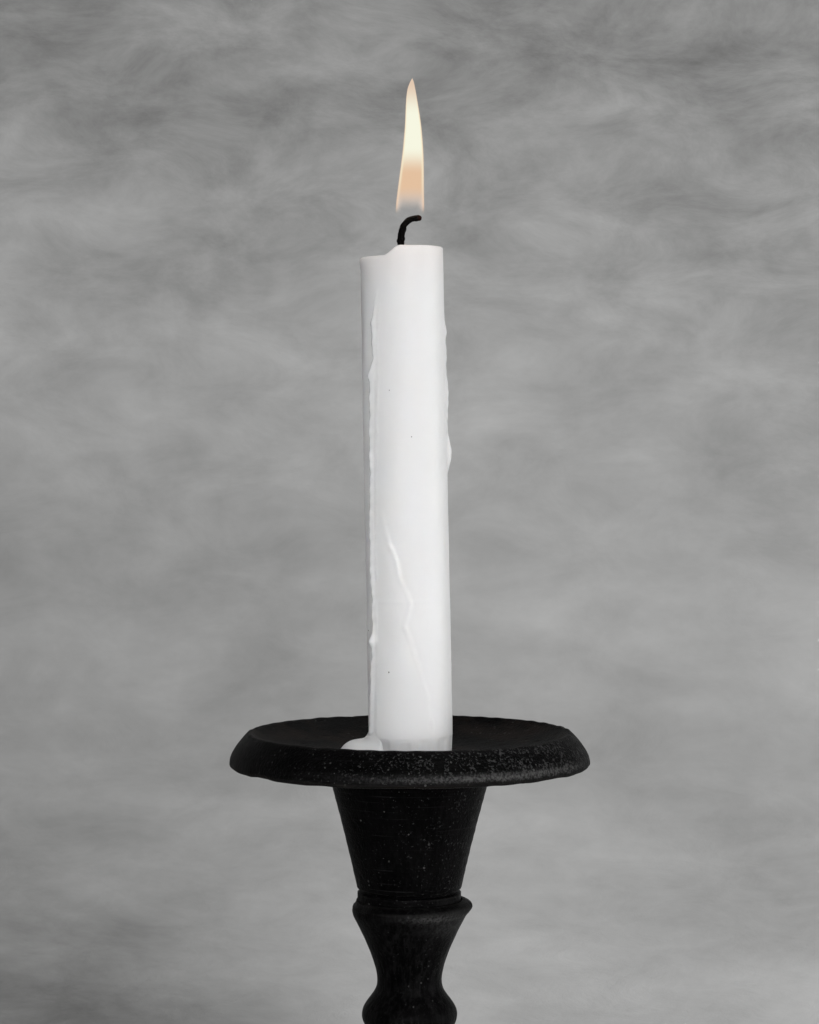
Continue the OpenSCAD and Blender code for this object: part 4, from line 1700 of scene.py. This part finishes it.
@dataclass
class Flame:
    """The candle's flame: light, and not a piece of the object."""

    foot: float = 384.6
    tip: float = 420.8
    half_foot: float = 3.95
    half_tip: float = 0.95

    def build(self) -> bpy.types.Object:
        """Turns a flame's outline round a slightly curved line.

        Half-width falls from the foot with a slight swell, and a high power of height rounds off the tip.
        The middle drifts right and back as smooth steps.

        Returns:
            The flame, riding with the candle.
        """
        t = np.concatenate([np.linspace(0.0, 0.9, 60), np.linspace(0.905, 1.0, 30)])
        turn = once_round(64)
        z = self.foot + (self.tip - self.foot) * t
        straight = self.half_foot + (self.half_tip - self.half_foot) * t + 0.22 * np.sin(np.pi * t)
        half = straight * (1 - t**22) * np.sqrt(smooth(t, -0.01, 0.03))
        back = 0.45 * smooth(t, 0.62, 0.92)
        mid = 0.1 + 0.85 * smooth(t, 0.0, 0.55) - back + 0.2 * smooth(t, 0.92, 1.0)
        points = round_axis(half[:, None], turn, z[:, None])
        points[..., 0] += mid[:, None]
        points = points[1:-1] * MM
        rise = np.repeat(t[1:-1, None], len(turn), axis=1)
        ends = (np.array([mid[0], 0, self.foot]) * MM, np.array([mid[-1], 0, self.tip]) * MM)
        obj = surface_object("flame", points, ends, False, {"rise": rise}, self.material())
        obj.visible_shadow = False
        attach(obj, "candle")
        return obj

    @staticmethod
    def material() -> bpy.types.Material:
        """Glow that is clear near the wick, tan in the lower middle and cream above and at the sides.

        Returns:
            The material.
        """
        material = bpy.data.materials.new("Flame_glow")
        material.use_nodes = True
        g = Graph(material.node_tree)
        rise = g.attribute("rise")
        facing = g.add("ShaderNodeLayerWeight")
        facing.inputs["Blend"].default_value = 0.5
        side = facing.outputs["Facing"]
        core = g.mix(g.ramp(rise, 0.3, 0.5), (0.77, 0.53, 0.35, 1), (0.93, 0.93, 0.76, 1))
        foot = g.mix(g.ramp(rise, 0.08, 0.22), (0.62, 0.54, 0.48, 1), core)
        wall = g.mix(g.ramp(rise, 0.06, 0.34), (0.78, 0.60, 0.48, 1), (0.95, 0.9, 0.66, 1))
        body = g.mix(g.ramp(side, 0.28, 0.66), foot, wall)
        rim = g.mix(g.math("MULTIPLY", g.ramp(side, 0.4, 0.75), 0.8), body, (0.84, 0.6, 0.42, 1))
        ending = g.mix(g.ramp(rise, 0.72, 0.97), rim, (0.76, 0.58, 0.44, 1))
        seen = g.add("ShaderNodeLightPath").outputs["Is Camera Ray"]
        glow = g.add("ShaderNodeEmission")
        g.put(glow.inputs["Color"], ending)
        g.put(glow.inputs["Strength"], g.math("SUBTRACT", 7.0, g.math("MULTIPLY", seen, 6.0)))
        clear = g.add("ShaderNodeBsdfTransparent")
        middle = g.ramp(rise, 0.045, 0.2)
        outer = g.ramp(rise, 0.02, 0.12)
        dense = g.math("ADD", g.math("MULTIPLY", middle, g.math("SUBTRACT", 1.0, g.ramp(side, 0.1, 0.5))),
                       g.math("MULTIPLY", outer, g.ramp(side, 0.1, 0.5)), clamp=True)
        soft = g.math("SUBTRACT", 1.0, g.ramp(side, 0.5, 0.98))
        amount = g.math("MULTIPLY", g.math("MULTIPLY", dense, soft), 0.97)
        join = g.add("ShaderNodeMixShader")
        g.put(join.inputs[0], amount)
        g.put(join.inputs[1], clear.outputs[0])
        g.put(join.inputs[2], glow.outputs[0])
        out = g.add("ShaderNodeOutputMaterial")
        g.put(out.inputs["Surface"], join.outputs[0])
        return material


# ---------------------------------------------------------------- base fittings


@dataclass
class FeltPad:
    """The felt disc glued under the base."""

    radius: float = 46.5
    thickness: float = 2.0

    def build(self, effects: Effects) -> bpy.types.Object:
        """A disc with a rounded, slightly fuzzy cut edge.

        Args:
            effects: the shared effects.

        Returns:
            The felt pad.
        """
        turn, r, t = once_round(320), self.radius, self.thickness
        inner = np.linspace(4, r - 0.6, 26)
        outline = np.concatenate([
            np.column_stack([inner, np.zeros_like(inner)]),
            arc((r - 0.5, 0.5), 0.5, -70, 0, 5),
            arc((r - 0.5, t - 0.45), 0.4, 0, 90, 5),
            np.column_stack([inner[::-1], np.full_like(inner, t)]),
        ])
        wave = Waves(51, 60, 90, 0.4).on(turn, np.arange(len(outline)) * 1.0)
        edge = smooth(outline[:, 0], r - 1.2, r - 0.4)
        rr = outline[:, :1] + 0.06 * wave * edge[:, None]
        lift = 0.04 * np.abs(wave) * (outline[:, 1] < 0.2)[:, None] * (1 - edge[:, None])
        zz = outline[:, 1:] + lift
        grid = round_axis(rr, turn, zz) * MM
        poles = (np.array([0, 0, 0.02]) * MM, np.array([0, 0, t]) * MM)
        obj = surface_object("felt_disc", grid, poles, False, {}, Felt().material(effects))
        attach(obj, "candlestick")
        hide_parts("felt_pad")
        return obj


@dataclass
class Fixings:
    """The screw, washer and dowels, which keep their CAD shapes."""

    steel: tuple[str, ...] = ("base_screw", "base_washer")
    beech: tuple[str, ...] = ("knop_dowel", "cup_dowel")

    def dress(self, effects: Effects) -> None:
        """Gives each fixing its material.

        Args:
            effects: the shared effects.
        """
        for names, finish in ((self.steel, ScrewSteel()), (self.beech, Beech())):
            material = finish.material(effects)
            for name in names:
                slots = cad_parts[name].data.materials
                slots.clear()
                slots.append(material)
                log.info("%s: %s", name, material.name)


# ---------------------------------------------------------------- stage


@dataclass
class Studio:
    """Floor with a wall that rises out of it, soft lights and the camera."""

    floor_radius: float = 2.1
    corner: float = 0.9
    wall_top: float = 2.6
    eye: tuple[float, float, float] = (0.0, -0.62827, 0.32075)
    dip: float = 1.2
    lens: float = 84.375

    def floor(self) -> bpy.types.Object:
        """A round floor that curves up into a wall: flat, then a quarter circle, then upright.

        Returns:
            The floor, staged.
        """
        r, c = self.floor_radius, self.corner
        flat = np.linspace(0.02, r, 40)
        outline = np.concatenate([np.column_stack([flat, np.zeros_like(flat)]),
                                  arc((r, c), c, -88, 0, 40), [[r + c, self.wall_top]]])
        grid = round_axis(outline[:, :1], once_round(128), outline[:, 1:])[:, ::-1]
        obj = surface_object("floor", grid, (np.array([0.0, 0, 0]), None), False, {}, self._paint())
        return obj

    @staticmethod
    def _paint() -> bpy.types.Material:
        """Pale grey plaster in brushed clouds, laid out by their direction from a point in the candle, with
        painted shade: darker higher up and low at the left.

        Returns:
            The material.
        """
        material, g, shader = new_material("Pale_plaster")
        away = g.add("ShaderNodeVectorMath", operation="SUBTRACT")
        g.put(away.inputs[0], g.place())
        away.inputs[1].default_value = (0.0, 0.0, 0.34)
        way = g.add("ShaderNodeVectorMath", operation="NORMALIZE")
        g.put(way.inputs[0], away.outputs[0])
        flat = g.scaled(way.outputs[0], (1.0, 1.0, 1.35))
        cloud = g.noise(flat, 3.2, 7.0, 0.62, 0.2)
        brushed = g.noise(g.scaled(way.outputs[0], (1.0, 1.0, 2.0)), 17.0, 7.0, 0.66, 0.45)
        split = g.add("ShaderNodeSeparateXYZ")
        g.put(split.inputs[0], way.outputs[0])
        side, rise = split.outputs[0], split.outputs[2]
        # Painted shade: darker higher up, most of all at the right, and darker low at the left, a little
        # lighter low at the right.
        high, deep = g.ramp(rise, 0.03, 0.24), g.ramp(rise, -0.12, -0.26)
        left = g.ramp(side, 0.02, -0.22)
        coarse = g.math("ADD", 0.4, g.math("MULTIPLY", g.ramp(rise, -0.15, 0.22), 0.75))
        stroke = g.math("MULTIPLY", g.math("SUBTRACT", brushed, 0.5), coarse)
        both = g.math("ADD", g.math("MULTIPLY", g.math("SUBTRACT", cloud, 0.5), 1.25), stroke)
        right = g.math("MULTIPLY", g.ramp(side, -0.1, 0.22), 0.3)
        # The painted shade: higher up, then low at the left.
        dull = g.math("MULTIPLY", high, g.math("ADD", 0.12, right))
        corner = g.math("MULTIPLY", deep, g.math("ADD", -0.07, g.math("MULTIPLY", left, 0.45)))
        both = g.math("ADD", both, g.math("SUBTRACT", 0.115, g.math("ADD", dull, corner)))
        fine = g.noise(flat, 70.0, 4.0, 0.6, 0.3)
        both = g.math("ADD", both, g.math("MULTIPLY", fine, 0.06))
        light = g.math("ADD", both, 0.5, clamp=True)
        g.put(shader.inputs["Base Color"], g.mix(light, (0.16, 0.16, 0.157, 1), (0.72, 0.72, 0.715, 1)))
        g.put(shader.inputs["Roughness"], g.ramp(fine, 0.3, 0.7, (0.85, 0.95)))
        shader.inputs["Specular IOR Level"].default_value = 0.1
        g.put(shader.inputs["Normal"], g.relief(brushed, 0.002))
        return material

    @staticmethod
    def light(name: str, place: Sequence[float], aim: Sequence[float], size: tuple[float, float],
              power: float, spread: float = 180.0) -> bpy.types.Object:
        """Adds a soft rectangular light that the camera doesn't see.

        Args:
            name: name of the light.
            place: its position in metres.
            aim: the point it faces.
            size: its width and height in metres.
            power: its power in watts.
            spread: the angle that its beam fans out over, in degrees.

        Returns:
            The light.
        """
        data = bpy.data.lights.new(name, "AREA")
        data.shape = "RECTANGLE"
        data.size, data.size_y = size
        data.energy = power
        data.spread = math.radians(spread)
        obj = bpy.data.objects.new(name, data)
        bpy.context.scene.collection.objects.link(obj)
        obj.location = place
        way = np.asarray(aim, float) - np.asarray(place, float)
        obj.rotation_euler = Vector(way).to_track_quat("-Z", "Y").to_euler()
        obj.visible_camera = False
        return obj

    def build(self) -> None:
        """Adds the floor, the lights, the sky and the camera."""
        self.floor()
        self.light("key_front", (0.36, -1.7, 0.9), aim=(0, 0, 0.3), size=(0.7, 0.7), power=14.9)
        self.light("fill_front", (-0.3, -1.6, 0.3), aim=(0, 0, 0.27), size=(0.4, 0.4), power=1.6)
        self.light("low_front", (-0.5, -1.5, 0.33), aim=(0, 0, 0.262), size=(0.3, 0.3), power=0.066,
                   spread=10.0)
        self.light("side_right", (1.25, -0.12, 0.16), aim=(0, 0, 0.24), size=(0.25, 0.8), power=7.2)
        self.light("edge_left", (-1.2, 0.5, 0.5), aim=(0, 0, 0.31), size=(0.3, 0.5), power=0.0095,
                   spread=16.0)
        self.light("wall_wash", (0.8, 1.0, 2.3), aim=(0.5, 2.7, 0.5), size=(1.6, 0.8), power=31.0)
        world = bpy.data.worlds.new("Sky")
        world.use_nodes = True
        sky = world.node_tree.nodes["Background"]
        sky.inputs["Color"].default_value = (1, 1, 1, 1)
        sky.inputs["Strength"].default_value = 0.2
        bpy.context.scene.world = world
        data = bpy.data.cameras.new("camera")
        data.sensor_fit = "AUTO"
        data.sensor_width = 36.0
        data.lens = self.lens
        data.clip_start, data.clip_end = 0.01, 20.0
        camera = bpy.data.objects.new("camera", data)
        camera.location = self.eye
        camera.rotation_euler = (math.radians(90 - self.dip), 0, 0)
        bpy.context.scene.collection.objects.link(camera)
        bpy.context.scene.camera = camera
        bpy.context.scene.view_settings.view_transform = "Standard"


def main() -> None:
    """Builds the studio and every piece, in order."""
    logging.basicConfig(level=logging.INFO, format="%(name)s: %(message)s")
    Studio().build()
    effects = Effects()
    tray_paint = BlackPaint("Black_tray", Grain.ACROSS, streaks=0.2, speck_share=0.45, speck_light=0.6,
                            grit=0.85, scratches=0.25, rub=0.42, roughness=0.45, warmth=0.75)
    cup_paint = BlackPaint("Black_cup", streaks=0.22, speck_share=0.2, speck_light=0.7, grit=0.5,
                           scratches=0.8, rub=0.2, roughness=0.42)
    knop_paint = BlackPaint("Black_knop", streaks=0.7, speck_share=0.1, speck_light=0.5, grit=0.35,
                            scratches=0.08, rub=0.3, roughness=0.42)
    stem_paint = BlackPaint("Black_stem", streaks=0.5, speck_share=0.1, speck_light=0.5, grit=0.3,
                            scratches=0.2, rub=0.35)
    base_paint = BlackPaint("Black_base", Grain.ACROSS, streaks=0.3, speck_share=0.3, speck_light=0.6,
                            grit=0.55, scratches=0.3, rub=0.42, warmth=0.3)
    pieces: list[TurnedPiece] = [
        Base("base", base_paint, 101, columns=400, spacing=0.8, wander=0.05),
        Stem("stem", stem_paint, 102, columns=220, spacing=0.6, wander=0.05),
        Knop("knop", knop_paint, 103, columns=320, spacing=0.32, wander=0.04),
        Cup("cup", cup_paint, 104, columns=320, spacing=0.32, wander=0.04),
        DripTray("drip_tray", tray_paint, 105, columns=540, spacing=0.6, wander=0.05),
    ]
    for piece in pieces:
        made = piece.build(effects)
        log.info("%s: %d faces", made.name, len(made.data.polygons))
    candle = Candle()
    wax = Wax().material(effects)
    for made in (candle.build_body(wax), candle.build_puddle(wax), candle.build_wick(effects),
                 FeltPad().build(effects), Flame().build()):
        log.info("%s: %d faces", made.name, len(made.data.polygons))
    Fixings().dress(effects)


if __name__ == "__main__":
    main()
